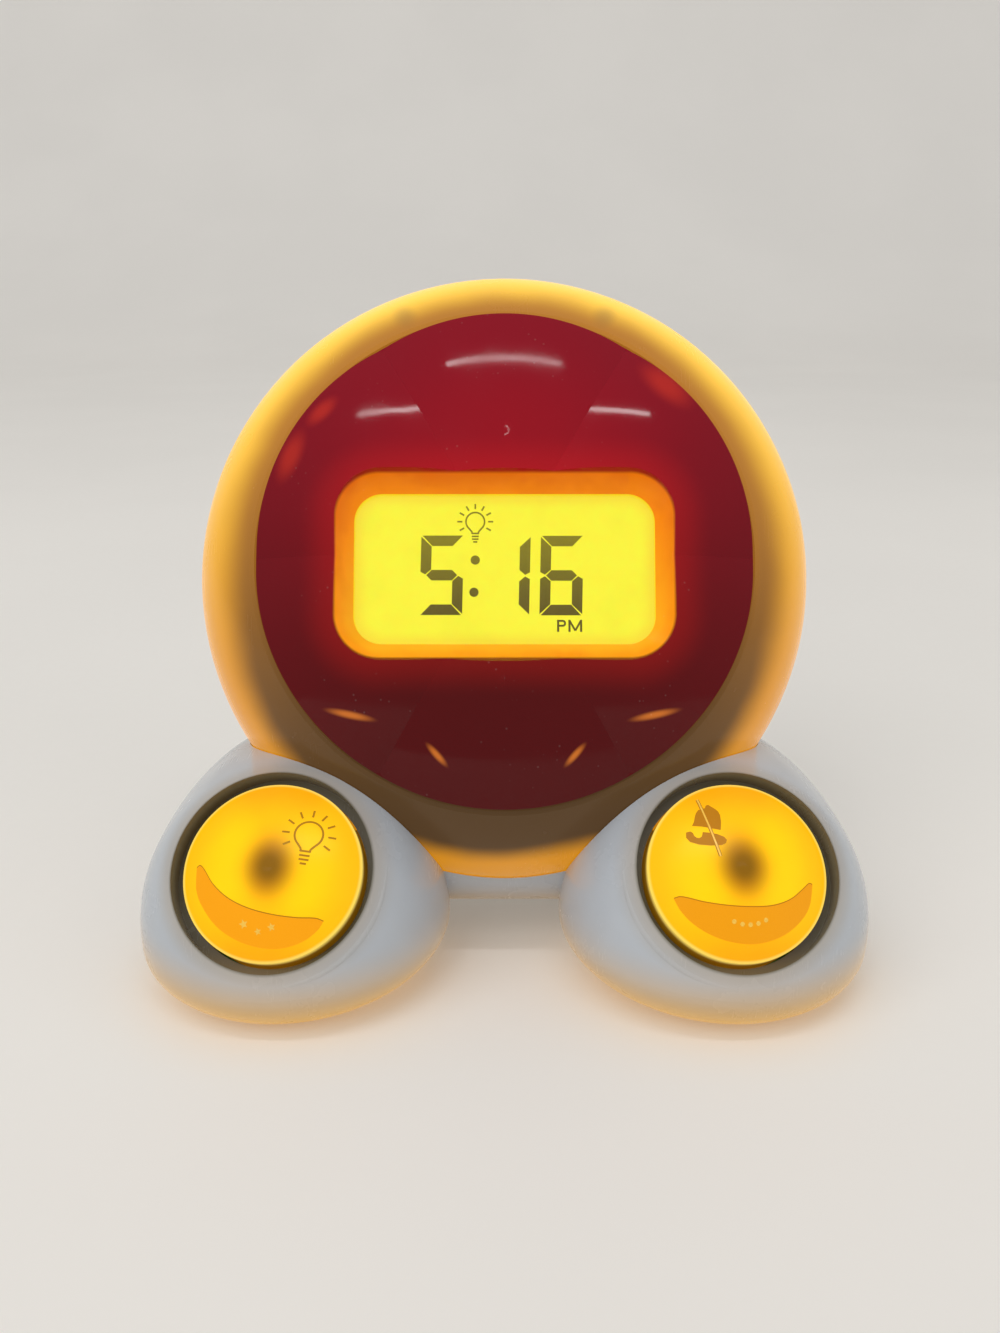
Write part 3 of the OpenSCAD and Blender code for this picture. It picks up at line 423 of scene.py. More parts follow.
def face_plastic(set_up):
    """Deep red face in painted shade towards the bottom, lit orange on the window's walls and faintly around
    them.
    """
    s = Finish("face_plastic")
    head = s.local(HEAD)
    at = s.local(DISPLAY)
    polar = s.group("round measure", vector=head)
    away = s.group("window distance", vector=at)["Distance"]
    wall = s.slope(away, 2.75, 3.35, 1.0, 0.0)
    # Painted shade: the red darkens towards the bottom of the face; it also turns darker from the middle
    # towards the rim.
    high = s.slope(polar["Upward"], -1.0, 1.0)
    darker_to_rim = s.mix(s.slope(polar["Radius"], 20.0, 48.0), (0.34, 0.002, 0.011), (0.20, 0.0018, 0.013))
    red = s.mix(high, (0.09, 0.0006, 0.0014), s.mix(0.5, set_up.face, darker_to_rim))
    orange = s.mix(s.slope(s.noise(at, 0.12), 0.35, 0.65), (0.42, 0.08, 0.002), (0.50, 0.13, 0.003))
    colour = s.mix(wall, red, orange)
    s.mould(head, colour, 0.07, grain=0.8, depth=0.004, smudge=0.05, dust=0.06, scuff=0.2)
    glow = s.mix(s.times(s.slope(away, 3.0, 11.0, 1.0, 0.0), 0.32), BLACK, (0.55, 0.010, 0.002))
    # Painted light: lamp light leaking through, and painted reflections of the lit buttons, added to the
    # glow.
    for marks, shine, share in (
        (FACE_LIGHT_LEAKS, (0.60, 0.045, 0.006), 0.55),
        (FACE_BUTTON_REFLECTIONS, (1.0, 0.30, 0.03), 0.8),
    ):
        for middle, halves, lean in marks:
            centre, reach = (*middle, FACE_DEPTH), (*halves, FACE_REACH)
            spot = s.group("soft spot", vector=head, centre=centre, reach=reach, turn=math.radians(-lean))
            glow = s.mix(s.times(spot["Mask"], share), glow, shine)
    fall = s.slope(s.split(at)[1], 12.0, -16.0)
    near = s.mix(fall, (0.92, 0.24, 0.003), (1.0, 0.50, 0.012))
    far = s.mix(fall, (0.74, 0.15, 0.003), (0.96, 0.34, 0.004))
    wall_glow = s.mix(s.slope(away, 0.3, 2.9), near, far)
    s.put("Emission Color", s.mix(wall, glow, wall_glow))
    s.plain(emission_strength=0.6, ior=1.3)
    return s.material


# Distances from a button's axis, in millimetres: the lamp light round it, and the painted shade of the groove
# at its edge.
WELL_LIGHT = (19.2, 24.0)
WELL_GROOVE_SHADE = (19.1, 19.9)


def base_plastic(set_up):
    """White base that takes lamp light at its lower edge and around the buttons, with painted shade in the
    grooves round them.
    """
    s = Finish("base_plastic")
    at = s.local(WORLD_MM)
    _, y, z = s.split(at)
    low = s.slope(z, 0.5, 19.0, 1.0, 0.0)
    front = s.slope(y, 4.0, -34.0)
    lit = s.times(low, s.plus(0.2, s.times(front, 0.8)))
    wells = groove_shade = 0.0
    for place in BUTTONS.values():
        radius = s.group("round measure", vector=s.local(place))["Radius"]
        wells = s.maths("MAXIMUM", wells, s.slope(radius, *WELL_LIGHT, 1.0, 0.0))
        groove_shade = s.maths("MAXIMUM", groove_shade, s.slope(radius, *WELL_GROOVE_SHADE, 1.0, 0.0))
    tint = s.times(s.maths("MAXIMUM", lit, s.times(wells, 0.35)), 0.97)
    colour = s.mix(tint, set_up.base, (0.38, 0.22, 0.02))
    # Painted shade in the groove round each button.
    colour = s.mix(s.times(groove_shade, 0.80), colour, (0.070, 0.058, 0.012))
    s.mould(at, colour, 0.2, grain=0.5, depth=0.01, dust=0.12, scuff=0.3)
    s.put("Emission Color", s.mix(s.times(lit, 0.9), BLACK, set_up.base_glow))
    s.plain(emission_strength=0.6, coat_weight=0.3, coat_roughness=0.06, ior=1.45)
    return s.material


# The painted shadow of the stem in the middle of a lit button, in millimetres: its place, then reach,
# strength and colour of each layer.
STEM_SHADOW_MIDDLE = (0.3, 0.1, 2.0)
STEM_SHADOW_LAYERS = (
    ((8.2, 9.2, 60.0), 0.8, (0.88, 0.30, 0.0006)),
    ((6.0, 7.2, 60.0), 0.96, (0.22, 0.10, 0.0008)),
)
# Distances from the button's axis where its field darkens and its clear edge starts, and its skirt's depth.
BUTTON_FIELD = (9.0, 16.6)
BUTTON_EDGE = (16.55, 17.05)
BUTTON_SKIRT = (-2.4, 0.2)


def button_plastic(set_up):
    """Amber push buttons, lit from below: a bright field, a painted shadow of the stem in the middle and a
    clear bright edge.
    """
    s = Finish("button_plastic")
    side = s.slope(s.split(s.local(WORLD_MM))[0], -0.5, 0.5, shape="LINEAR")
    nearer = s.add("Mix", data_type="VECTOR")
    for key, value in ((0, side), (4, s.local(BUTTONS["left"])), (5, s.local(BUTTONS["right"]))):
        s.feed(nearer.inputs[key], value)
    at = nearer.outputs[1]
    x, _, z = s.split(at)
    radius = s.group("round measure", vector=at)["Radius"]
    wave = s.times(s.maths("SUBTRACT", s.noise(at, 0.25), 0.5), 0.3)
    share = s.maths("DIVIDE", x, s.maths("MAXIMUM", radius, 0.1))
    sideways = s.slope(s.maths("ABSOLUTE", share), 0.1, 0.9)
    outer = s.plus(s.slope(radius, *BUTTON_FIELD), wave)
    field = s.mix(sideways, (1.0, 0.53, 0.001), set_up.button)
    darker = s.times(outer, s.slope(sideways, 0.0, 1.0, 0.75, 0.45))
    field = s.mix(darker, field, (0.96, 0.36, 0.0006))
    # Painted shadow of the stem under the middle of the dome.
    for reach, strength, shade in STEM_SHADOW_LAYERS:
        spot = s.group("soft spot", vector=at, centre=STEM_SHADOW_MIDDLE, reach=reach)["Mask"]
        field = s.mix(s.times(spot, strength), field, shade)
    s.mould(at, field, 0.3, grain=0.5, dust=0.04, scuff=0.2, dim=LIT_DIM)
    lit = s.mix(s.slope(radius, *BUTTON_EDGE), field, (1.0, 0.78, 0.16))
    s.put("Emission Color", s.mix(s.slope(z, *BUTTON_SKIRT), (0.12, 0.05, 0.001), lit))
    s.plain(emission_strength=set_up.button_light, ior=1.28)
    return s.material


def lcd_glass(set_up):
    """Lit display glass: even yellow with faint mottling and painted shade along its edges."""
    s = Finish("lcd_glass")
    at = s.local(DISPLAY)
    # Painted shade: the glow dulls towards the window's edge.
    edge = s.slope(s.group("window distance", vector=at)["Distance"], -3.2, 0.4)
    mottle = s.slope(s.noise(at, 0.35, 3.0, 0.6), 0.3, 0.7)
    centre = s.mix(mottle, set_up.display, (0.97, 0.86, 0.010))
    lit = s.mix(s.times(edge, 0.75), centre, (0.93, 0.62, 0.004))
    wear = {"grain_size": 0.3, "smudge": 0.06, "dust": 0.03}
    skin = s.group("moulded surface", vector=at, colour=(0.10, 0.095, 0.01), roughness=0.1, **wear)
    s.put("Base Color", skin["Colour"])
    s.put("Roughness", skin["Roughness"])
    s.put("Emission Color", lit)
    s.plain(emission_strength=set_up.display_light, ior=1.5)
    return s.material


def shaded(colour, share):
    """A share of a colour."""
    return [c * share for c in colour]


def lcd_ink(set_up):
    """Dark figures of the display: a little lighter towards the top."""
    s = Finish("lcd_ink")
    at = s.local(DISPLAY)
    high = s.slope(s.split(at)[1], -11.0, 9.0)
    mottle = s.slope(s.noise(at, 1.6), 0.3, 0.7, 0.88, 1.05)
    tint = s.mix(high, (0.115, 0.082, 0.001), (0.255, 0.215, 0.001))
    s.put("Emission Color", s.mix(1.0, tint, s.join(mottle, mottle, mottle), "MULTIPLY"))
    s.put("Base Color", s.mix(high, (0.03, 0.022, 0.002), shaded(set_up.figures, 0.2)))
    s.put("Roughness", s.slope(mottle, 0.88, 1.05, 0.45, 0.6))
    s.plain(emission_strength=0.9, ior=1.15)
    return s.material


def clear_lens():
    """Clear moulded display lens with faint smudges."""
    s = Finish("clear_lens")
    at = s.local(DISPLAY)
    smear = s.slope(s.noise(at, 0.08, 4.0, 0.6), 0.48, 0.7)
    s.put("Roughness", s.plus(0.015, s.times(smear, 0.035)))
    s.put("Base Color", s.mix(smear, (0.99, 0.995, 0.98), (0.96, 0.965, 0.94)))
    s.relief(s.noise(at, 0.05, 1.0, 0.4), 0.2, 0.01)
    s.plain(transmission_weight=1.0, ior=1.38)
    return s.material


def sign_ink(name, place, tint, glow):
    """A sign moulded in a lit button: a fine hatch in a darker amber."""
    s = Finish(name)
    at = s.local(place)
    waves = {"Vector": at, "Scale": 2.4, "Distortion": 0.6, "Detail": 1.0}
    across = s.add("TexWave", waves, bands_direction="DIAGONAL").outputs["Fac"]
    shade = s.mix(s.times(s.slope(across, 0.3, 0.8), 0.25), tint, shaded(tint, 0.72))
    s.mould(at, shade, 0.34, grain=0.25, depth=0.02, smudge=0.08, dust=0.03, scuff=0.1, dim=LIT_DIM)
    s.put("Emission Color", shade)
    s.plain(emission_strength=glow, ior=1.3)
    return s.material


def amber_led():
    """Small amber lamp: a bright middle in a clear body."""
    s = Finish("amber_led")
    at = s.local(WORLD_MM)
    spot = s.slope(s.noise(at, 0.6), 0.3, 0.7)
    s.mould(at, s.mix(spot, (0.95, 0.45, 0.03), (0.9, 0.32, 0.02)), 0.12, dust=0.02)
    s.put("Emission Color", s.mix(spot, (1.0, 0.52, 0.03), (1.0, 0.68, 0.10)))
    s.plain(emission_strength=0.6, coat_weight=0.5, ior=1.5)
    return s.material


def bare_metal(name, colour, rough, place):
    """Metal with fine drawn lines, dull patches and a few scratches."""
    s = Finish(name)
    at = s.local(place)
    drawn = s.add("Mapping", {"Vector": at, "Scale": (0.4, 6.0, 0.4)})
    lines = s.noise(drawn.outputs[0], 1.5, 3.0, 0.6)
    dull = s.slope(s.noise(at, 0.3, 3.0, 0.6), 0.45, 0.7)
    marks = s.group("scuffs", vector=at, amount=0.6)
    tone = s.mix(s.times(dull, 0.4), colour, shaded(colour, 0.7))
    s.put("Base Color", s.mix(s.times(lines, 0.15), tone, shaded(colour, 0.8)))
    wear = s.plus(s.times(dull, 0.18), s.times(marks["Mask"], 0.2))
    s.put("Roughness", s.plus(s.plus(rough, s.times(lines, 0.12)), wear))
    s.relief(s.plus(lines, marks["Height"]), 0.35, 0.01)
    s.plain(metallic=1.0)
    return s.material


def plain_piece(name, colour, second, rough, grain, depth, coat=0.0, dust=0.15):
    """A plain moulded, rubber or board piece in two close shades."""
    s = Finish(name)
    at = s.local(WORLD_MM)
    drift = s.slope(s.noise(at, 0.12, 3.0, 0.55), 0.35, 0.68)
    s.mould(at, s.mix(drift, colour, second), rough, grain=grain, depth=depth, dust=dust)
    s.plain(coat_weight=coat, coat_roughness=0.2)
    return s.material


def circuit_board():
    """Green board with lighter tracks under the lacquer."""
    s = Finish("circuit_board")
    at = s.local(WORLD_MM)
    cells = s.add("TexVoronoi", {"Vector": at, "Scale": 0.35}, feature="DISTANCE_TO_EDGE")
    track = s.slope(cells.outputs["Distance"], 0.05, 0.09, 1.0, 0.0)
    colour = s.mix(s.times(track, 0.6), (0.012, 0.11, 0.045), (0.05, 0.23, 0.09))
    s.mould(at, colour, 0.3, grain=0.3, depth=0.01)
    s.plain(coat_weight=0.4, coat_roughness=0.15)
    return s.material


# Colour, roughness and the place whose directions the drawn lines follow.
METALS = {
    "bright_steel": ((0.62, 0.62, 0.64), 0.22, WORLD_MM),
    "spring_brass": ((0.72, 0.52, 0.20), 0.25, HEAD),
}
# Two close shades, roughness, size and depth of the grain in millimetres, clear coat and dust.
PLAIN_PIECES = {
    "light_guide": ((0.86, 0.86, 0.74), (0.78, 0.78, 0.62), 0.5, 0.4, 0.02),
    "black_plastic": ((0.018, 0.018, 0.02), (0.03, 0.03, 0.034), 0.45, 0.4, 0.02),
    "contact_rubber": ((0.55, 0.30, 0.29), (0.48, 0.25, 0.24), 0.7, 0.3, 0.03),
    "white_board": ((0.74, 0.74, 0.70), (0.66, 0.66, 0.62), 0.4, 0.3, 0.01),
    "grey_keys": ((0.075, 0.08, 0.095), (0.10, 0.105, 0.12), 0.42, 0.25, 0.03, 0.1),
    "cell_wrap": ((0.02, 0.10, 0.055), (0.03, 0.13, 0.07), 0.2, 0.8, 0.006, 0.6),
    "pad_rubber": ((0.014, 0.014, 0.014), (0.028, 0.027, 0.026), 0.8, 0.3, 0.05, 0.0, 0.5),
    "cable_sleeve": ((0.02, 0.02, 0.022), (0.03, 0.03, 0.033), 0.5, 0.3, 0.02),
}
# The button that a sign lies on, and the sign's tint.
SIGN_INKS = {
    "left_sign_ink": ("left", (0.92, 0.35, 0.001)),
    "right_sign_ink": ("right", (0.86, 0.33, 0.001)),
    "left_line_ink": ("left", (0.44, 0.19, 0.002)),
    "right_line_ink": ("right", (0.50, 0.19, 0.0015)),
}


def make_materials(set_up):
    """Every material of the clock, by the slot that it fills."""
    make_moulded_group()
    make_round_group()
    make_window_group()
    make_scuff_group()
    make_spot_group()
    made = {
        "ring_plastic": ring_plastic(set_up),
        "rear_plastic": rear_plastic(set_up),
        "face_plastic": face_plastic(set_up),
        "base_plastic": base_plastic(set_up),
        "button_plastic": button_plastic(set_up),
        "lcd_glass": lcd_glass(set_up),
        "lcd_ink": lcd_ink(set_up),
        "clear_lens": clear_lens(),
        "amber_led": amber_led(),
        "circuit_board": circuit_board(),
    }
    for name, values in METALS.items():
        made[name] = bare_metal(name, *values)
    for name, values in PLAIN_PIECES.items():
        made[name] = plain_piece(name, *values)
    for name, (side, tint) in SIGN_INKS.items():
        made[name] = sign_ink(name, BUTTONS[side], tint, set_up.button_light)
    return made


# ---------- shapes, flat and in millimetres until they are placed ----------


def outline_face(bm, corners):
    """One flat face from a few corners."""
    bm.faces.new([bm.verts.new((x, y, 0.0)) for x, y in corners])


def disc(bm, x, y, radius, steps=28, turn=0.0):
    """A flat round face."""
    place = Matrix.Translation((x, y, 0)) @ Matrix.Rotation(turn, 4, "Z")
    return bmesh.ops.create_circle(bm, cap_ends=True, segments=steps, radius=radius, matrix=place)["verts"]


def stroke(bm, start, end, width, cuts=1):
    """A straight flat line between two points, cut across so that it can bend."""
    a, b = Vector((*start, 0)), Vector((*end, 0))
    along = b - a
    place = Matrix.Translation((a + b) / 2) @ Matrix.Rotation(math.atan2(along.y, along.x), 4, "Z")
    size = Matrix.Diagonal((along.length / 2, width / 2, 1, 1))
    bmesh.ops.create_grid(bm, x_segments=cuts, y_segments=1, size=1.0, matrix=place @ size)


def spin(bm, geom, centre, axis, degrees, steps):
    """Turns an edge about an axis, filling in a face at each step, and gives what is at the end."""
    return bmesh.ops.spin(
        bm,
        geom=geom,
        cent=centre,
        axis=axis,
        dvec=(0, 0, 0),
        angle=math.radians(degrees),
        steps=steps,
        use_merge=False,
        use_duplicate=False,
    )["geom_last"]


def arc(bm, centre, radius, width, start, sweep, steps=40):
    """A flat curved line: a short edge spun about the centre, between angles in degrees."""
    middle = Vector((*centre, 0))
    turn = Matrix.Rotation(math.radians(start), 3, "Z")
    ends = [bm.verts.new(middle + turn @ Vector((radius + side * width / 2, 0, 0))) for side in (-1, 1)]
    edge = bm.edges.new(ends)
    spin(bm, [*ends, edge], middle, (0, 0, 1), sweep, steps)


def cut_small(bm, step):
    """Cuts flat faces along both directions, so that they can bend over a dome."""
    for axis in (0, 1):
        places = [v.co[axis] for v in bm.verts]
        level, last = min(places) + step / 2, max(places)
        normal = Vector((1 - axis, axis, 0))
        while level < last:
            whole = [*bm.verts, *bm.edges, *bm.faces]
            bmesh.ops.bisect_plane(bm, geom=whole, plane_co=normal * level, plane_no=normal)
            level += step


# The screw of a lamp symbol, in radii of its glass: drop below the middle and half width of each line.
LAMP_SCREW = ((1.28, 0.38), (1.60, 0.37), (1.90, 0.35), (2.20, 0.22))


def lamp_lines(bm, x, y, radius, line):
    """The outline of a glowing lamp: its glass, neck, screw and nine rays."""
    arc(bm, (x, y), radius, line, start=-50, sweep=280)
    for side in (-1, 1):
        neck = (x + side * radius * 0.34, y - radius * 1.13)
        stroke(bm, (x + side * radius * 0.65, y - radius * 0.765), neck, line, 3)
        stroke(bm, neck, (neck[0], y - radius * 1.32), line, 2)
    for drop, half in LAMP_SCREW:
        level = y - drop * radius
        stroke(bm, (x - half * radius, level), (x + half * radius, level), line, 2)
    for turn in range(-30, 211, 30):
        a = math.radians(turn)
        near, far = ((x + r * radius * math.cos(a), y + r * radius * math.sin(a)) for r in (1.38, 1.93))
        stroke(bm, near, far, line, 3)


def star(bm, x, y, size, points=5):
    """A small star: a round face whose every other corner is drawn in."""
    middle = Vector((x, y, 0))
    for i, vert in enumerate(disc(bm, x, y, size, steps=2 * points, turn=math.pi / 2)):
        if i % 2:
            vert.co = middle + (vert.co - middle) * 0.45


def only(kind, geom):
    """The parts of some geometry that are of one kind."""
    return [g for g in geom if isinstance(g, kind)]


def thicken(bm, thickness):
    """Gives flat faces a body above them and closes it."""
    bmesh.ops.remove_doubles(bm, verts=bm.verts, dist=0.0005)
    flat = list(bm.faces)
    bmesh.ops.recalc_face_normals(bm, faces=flat)
    for face in flat:
        if face.normal.z < 0:
            face.normal_flip()
    top = bmesh.ops.extrude_face_region(bm, geom=flat, use_keep_orig=True)["geom"]
    bmesh.ops.translate(bm, verts=only(bmesh.types.BMVert, top), vec=(0, 0, thickness))
    bmesh.ops.recalc_face_normals(bm, faces=bm.faces)


def drape(bm, rise, radius, lift):
    """Lays a flat sign on a dome, at a small height above it."""
    ball = (radius * radius + rise * rise) / (2 * rise)
    for vert in bm.verts:
        flat = vert.co.x * vert.co.x + vert.co.y * vert.co.y
        vert.co.z += rise - ball + math.sqrt(ball * ball - flat) + lift


def new_object(bm, name, material):
    """Makes a bmesh in metres an object of the scene."""
    mesh = bpy.data.meshes.new(name)
    bm.to_mesh(mesh)
    bm.free()
    mesh.materials.append(material)
    made = bpy.data.objects.new(name, mesh)
    bpy.context.scene.collection.objects.link(made)
    return made


def place_piece(bm, name, place, material, body):
    """Makes a bmesh in millimetres a finished piece: placed, dressed and riding on its body."""
    bmesh.ops.transform(bm, matrix=place @ Matrix.Scale(MM, 4), verts=bm.verts)
    piece = new_object(bm, name, bpy.data.materials[material])
    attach(piece, body)


# ---------- operators ----------


class CLOCK_OT_finishes(bpy.types.Operator):
    """Give every solid of the clock its plastic, metal, rubber or board finish"""

    bl_idname = "clock.finishes"
    bl_label = "Finishes"

    def execute(self, context):
        made = make_materials(context.scene.clock_finish)
        for node in NODES.values():
            for slot in node.material_slots:
                name = slot.material.name.split(".")[0]
                if name not in made:
                    raise RuntimeError(f"no finish is written for slot {name}")
                slot.material = made[name]
        return {"FINISHED"}


FIGURE_PARTS = {
    "5": "top upper_left middle lower_right bottom",
    "1": "upper_right lower_right",
    "6": "top upper_left middle lower_left lower_right bottom",
}
# The display's marks, in millimetres from its middle.
TIME_FIGURES = (
    ("hour_figure", "5", -12.46, -1.1),
    ("ten_minutes_figure", "1", 0.80, -1.2),
    ("minutes_figure", "6", 11.30, -1.16),
)
COLON_DOTS = ((-5.81, 1.93), (-6.06, -4.52))
COLON_RADIUS = 0.92
LAMP_SYMBOL = {"x": -5.82, "y": 9.64, "radius": 1.85, "line": 0.32}
AFTERNOON_PLACE = (10.38, -12.4)
AFTERNOON_HEIGHT = 2.39
AFTERNOON_LINE = 0.42
INK_CLEARANCE = 0.03


def figure_part(part, width, height, stroke_width, gap):
    """Corners of one segment of a seven-part figure whose middle is the origin."""
    w, h, t, g = width / 2, height / 2, stroke_width, gap / 2 + 0.01
    cut = t * 0.5
    if part == "top":
        return [(-w + g * 2, h), (w - g * 2, h), (w - t - g, h - t), (-w + t + g, h - t)]
    if part == "bottom":
        return [(x, -y) for x, y in figure_part("top", width, height, stroke_width, gap)][::-1]
    if part == "middle":
        tip, end = w - g - cut, w - t - g
        return [(-tip, 0), (-end, cut), (end, cut), (tip, 0), (end, -cut), (-end, -cut)]
    side = -1 if part.endswith("left") else 1
    up = 1 if part.startswith("upper") else -1
    inner = [(w - t, cut + g), (w - t, h - t - g)]
    corners = [(w, h - g * 2), (w, cut * 0.55 + g), (w - cut * 0.9, g + 0.05), *inner]
    return [(side * x, up * y) for x, y in corners]


class CLOCK_OT_display_figures(bpy.types.Operator):
    """Put the time, its colon, the afternoon mark and the lamp symbol on the display"""

    bl_idname = "clock.display_figures"
    bl_label = "Display figures"

    def execute(self, context):
        size = context.scene.clock_figures
        marks = {name: self.figure(size, parts, x, y) for name, parts, x, y in TIME_FIGURES}
        marks["colon"] = bmesh.new()
        for x, y in COLON_DOTS:
            disc(marks["colon"], x, y, COLON_RADIUS)
        marks["lamp_symbol"] = bmesh.new()
        lamp_lines(marks["lamp_symbol"], **LAMP_SYMBOL)
        marks["afternoon_mark"] = self.afternoon_mark()
        level = self.ink_level()
        for name, bm in marks.items():
            thicken(bm, size.ink / MM)
            bmesh.ops.translate(bm, verts=bm.verts, vec=(0, 0, level))
            place_piece(bm, name, DISPLAY, "lcd_ink", "case")
        return {"FINISHED"}

    def ink_level(self):
        """Height of the figures over the display's middle: just in front of the display glass."""
        back = DISPLAY.inverted()
        return max((back @ v.co).z for v in NODES["lcd_panel"].data.vertices) / MM + INK_CLEARANCE

    def figure(self, size, figure, x, y):
        """One leaning figure, from its segments."""
        width, height, line, gap = (v / MM for v in (size.width, size.height, size.stroke, size.gap))
        lean = Matrix.Identity(4)
        lean[0][1] = math.tan(size.slant)
        bm = bmesh.new()
        for part in FIGURE_PARTS[figure].split():
            outline_face(bm, figure_part(part, width, height, line, gap))
        bmesh.ops.transform(bm, matrix=Matrix.Translation((x, y, 0)) @ lean, verts=bm.verts)
        return bm

    def afternoon_mark(self):
        """The letters that mark the afternoon, from short strokes."""
        bm = bmesh.new()
        x, y = AFTERNOON_PLACE
        high, thick = AFTERNOON_HEIGHT, AFTERNOON_LINE
        stroke(bm, (x + thick / 2, y), (x + thick / 2, y + high), thick)
        upper = high - thick / 2
        lower = high * 0.46 + thick / 2 - 0.1
        bowl = x + 1.1
        for level in (upper, lower):
            stroke(bm, (x + thick, y + level), (bowl, y + level), thick * 0.92)
        middle = (upper + lower) / 2
        arc(bm, (bowl, y + middle), upper - middle, thick * 0.92, start=-90, sweep=180, steps=14)
        left = x + 2.45
        right = left + 2.3
        centre = (left + right) / 2
        for side in (left, right):
            stroke(bm, (side, y), (side, y + high), thick)
            stroke(bm, (side, y + high - 0.12), (centre, y + 0.25), thick * 0.9)
        return bm


def curve_through(points):
    """A smooth height over x through a few marked points."""

    def height(x):
        i = 0
        while x > points[i + 1][0] and i < len(points) - 2:
            i += 1
        (x0, y0), (x1, y1) = points[i], points[i + 1]
        before, after = points[max(i - 1, 0)], points[min(i + 2, len(points) - 1)]
        m0 = (y1 - before[1]) / max(x1 - before[0], 0.01)
        m1 = (after[1] - y0) / max(after[0] - x0, 0.01)
        span = x1 - x0
        t = min(max((x - x0) / span, 0.0), 1.0)
        return (
            (2 * t**3 - 3 * t**2 + 1) * y0
            + (t**3 - 2 * t**2 + t) * span * m0
            + (3 * t**2 - 2 * t**3) * y1
            + (t**3 - t**2) * span * m1
        )

    return height


def band(bm, ends, low, high, columns, rows):
    """A flat sheet between two heights over x, from end to end, cut finer near the ends."""
    left, right = ends
    for vert in bmesh.ops.create_grid(bm, x_segments=columns, y_segments=rows, size=1.0)["verts"]:
        x = left + (right - left) * (math.sin(vert.co.x * math.pi / 2) + 1) / 2
        vert.co.x, vert.co.y = x, low(x) + (high(x) - low(x)) * (vert.co.y + 1) / 2


# The signs, in millimetres from a button's middle. A moon is its lower edge and its upper edge.
LEFT_MOON = (
    (
        (-14.25, -0.3), (-13.85, -4.04), (-11.87, -7.75), (-8.44, -11.32), (-3.92, -13.67),
        (0.69, -14.59), (4.37, -14.31), (7.92, -12.85), (10.31, -10.73), (11.2, -9.1),
    ),
    (
        (-14.25, -0.2), (-13.67, 0.22), (-12.66, -0.52), (-10.29, -3.41), (-6.88, -6.0),
        (-2.77, -7.72), (1.85, -8.66), (6.27, -8.93), (9.84, -8.75), (11.2, -9.1),
    ),
)
RIGHT_MOON = (
    (
        (-13.04, -5.0), (-12.15, -7.02), (-10.2, -9.52), (-7.29, -11.7), (-3.38, -13.35),
        (1.46, -13.93), (6.59, -12.69), (10.46, -10.09), (12.66, -7.19), (13.65, -3.6),
    ),
    (
        (-13.04, -4.8), (-11.78, -4.65), (-7.62, -6.04), (-2.97, -7.03), (1.89, -7.44),
        (5.42, -7.24), (8.76, -6.18), (11.52, -4.31), (12.97, -3.22), (13.65, -3.4),
    ),
)
BELL = (
    (-8.11, 8.65), (-7.55, 9.6), (-7.34, 10.3), (-6.95, 11.2), (-6.4, 11.85), (-5.6, 12.1),
    (-5.04, 12.15), (-4.8, 12.7), (-4.3, 12.85), (-3.9, 12.45), (-3.35, 11.98), (-2.75, 11.3),
    (-2.51, 10.48), (-2.6, 9.0), (-2.98, 7.35), (-4.35, 7.74), (-6.31, 8.33),
)
BRIM = (
    (-9.41, 7.42), (-8.6, 7.55), (-8.2, 7.2), (-8.05, 6.6), (-7.7, 6.2), (-7.2, 6.05), (-6.75, 6.25),
    (-6.5, 6.75), (-6.4, 7.2), (-5.2, 6.95), (-3.8, 6.59), (-2.6, 5.95), (-2.17, 5.3), (-2.45, 4.65),
    (-3.23, 4.33), (-5.28, 4.37), (-7.43, 4.77), (-8.98, 5.45), (-9.55, 6.4),
)
SLASH_ENDS = ((-6.14, 14.13), (-3.81, 2.22))
LAMP_SIGN_PLACE = (6.83, 6.72)
LAMP_SIGN_RADIUS = 2.62
LAMP_SIGN_LEAN = math.radians(-3)
STARS = ((-3.4, -10.6, 0.9), (-0.6, -11.8, 0.7), (1.9, -10.9, 0.8))
DOT_RADIUS = 0.42
MOON_SHADE_LINE_WIDTH = 0.2
SIGN_THICKNESS = 0.12


def lay_sign(bm, name, size, material, raised, side):
    """Thickens a flat sign, drapes it over a button and rides it on that button."""
    thicken(bm, SIGN_THICKNESS)
    lift = size.lift / MM + raised - SIGN_THICKNESS
    drape(bm, size.dome_rise / MM, size.dome_width / 2 / MM, lift)
    place_piece(bm, name, BUTTONS[side], material, side + "_button")


def lay_moon(curves, size, side):
    """Lays a moon on its back on a button, with a fine line of painted shade along its upper edge."""
    low, high = (curve_through(points) for points in curves)
    tips = curves[0][0][0], curves[0][-1][0]
    moon = bmesh.new()
    band(moon, tips, low, high, 36, 6)
    lay_sign(moon, side + "_moon_sign", size, side + "_sign_ink", -0.02, side)
    # A fine line of painted shade along the moon's upper edge.
    half = MOON_SHADE_LINE_WIDTH / 2
    edge = bmesh.new()
    band(edge, tips, lambda x: high(x) - half, lambda x: high(x) + half, 48, 1)
    lay_sign(edge, side + "_moon_edge", size, side + "_line_ink", 0.01, side)


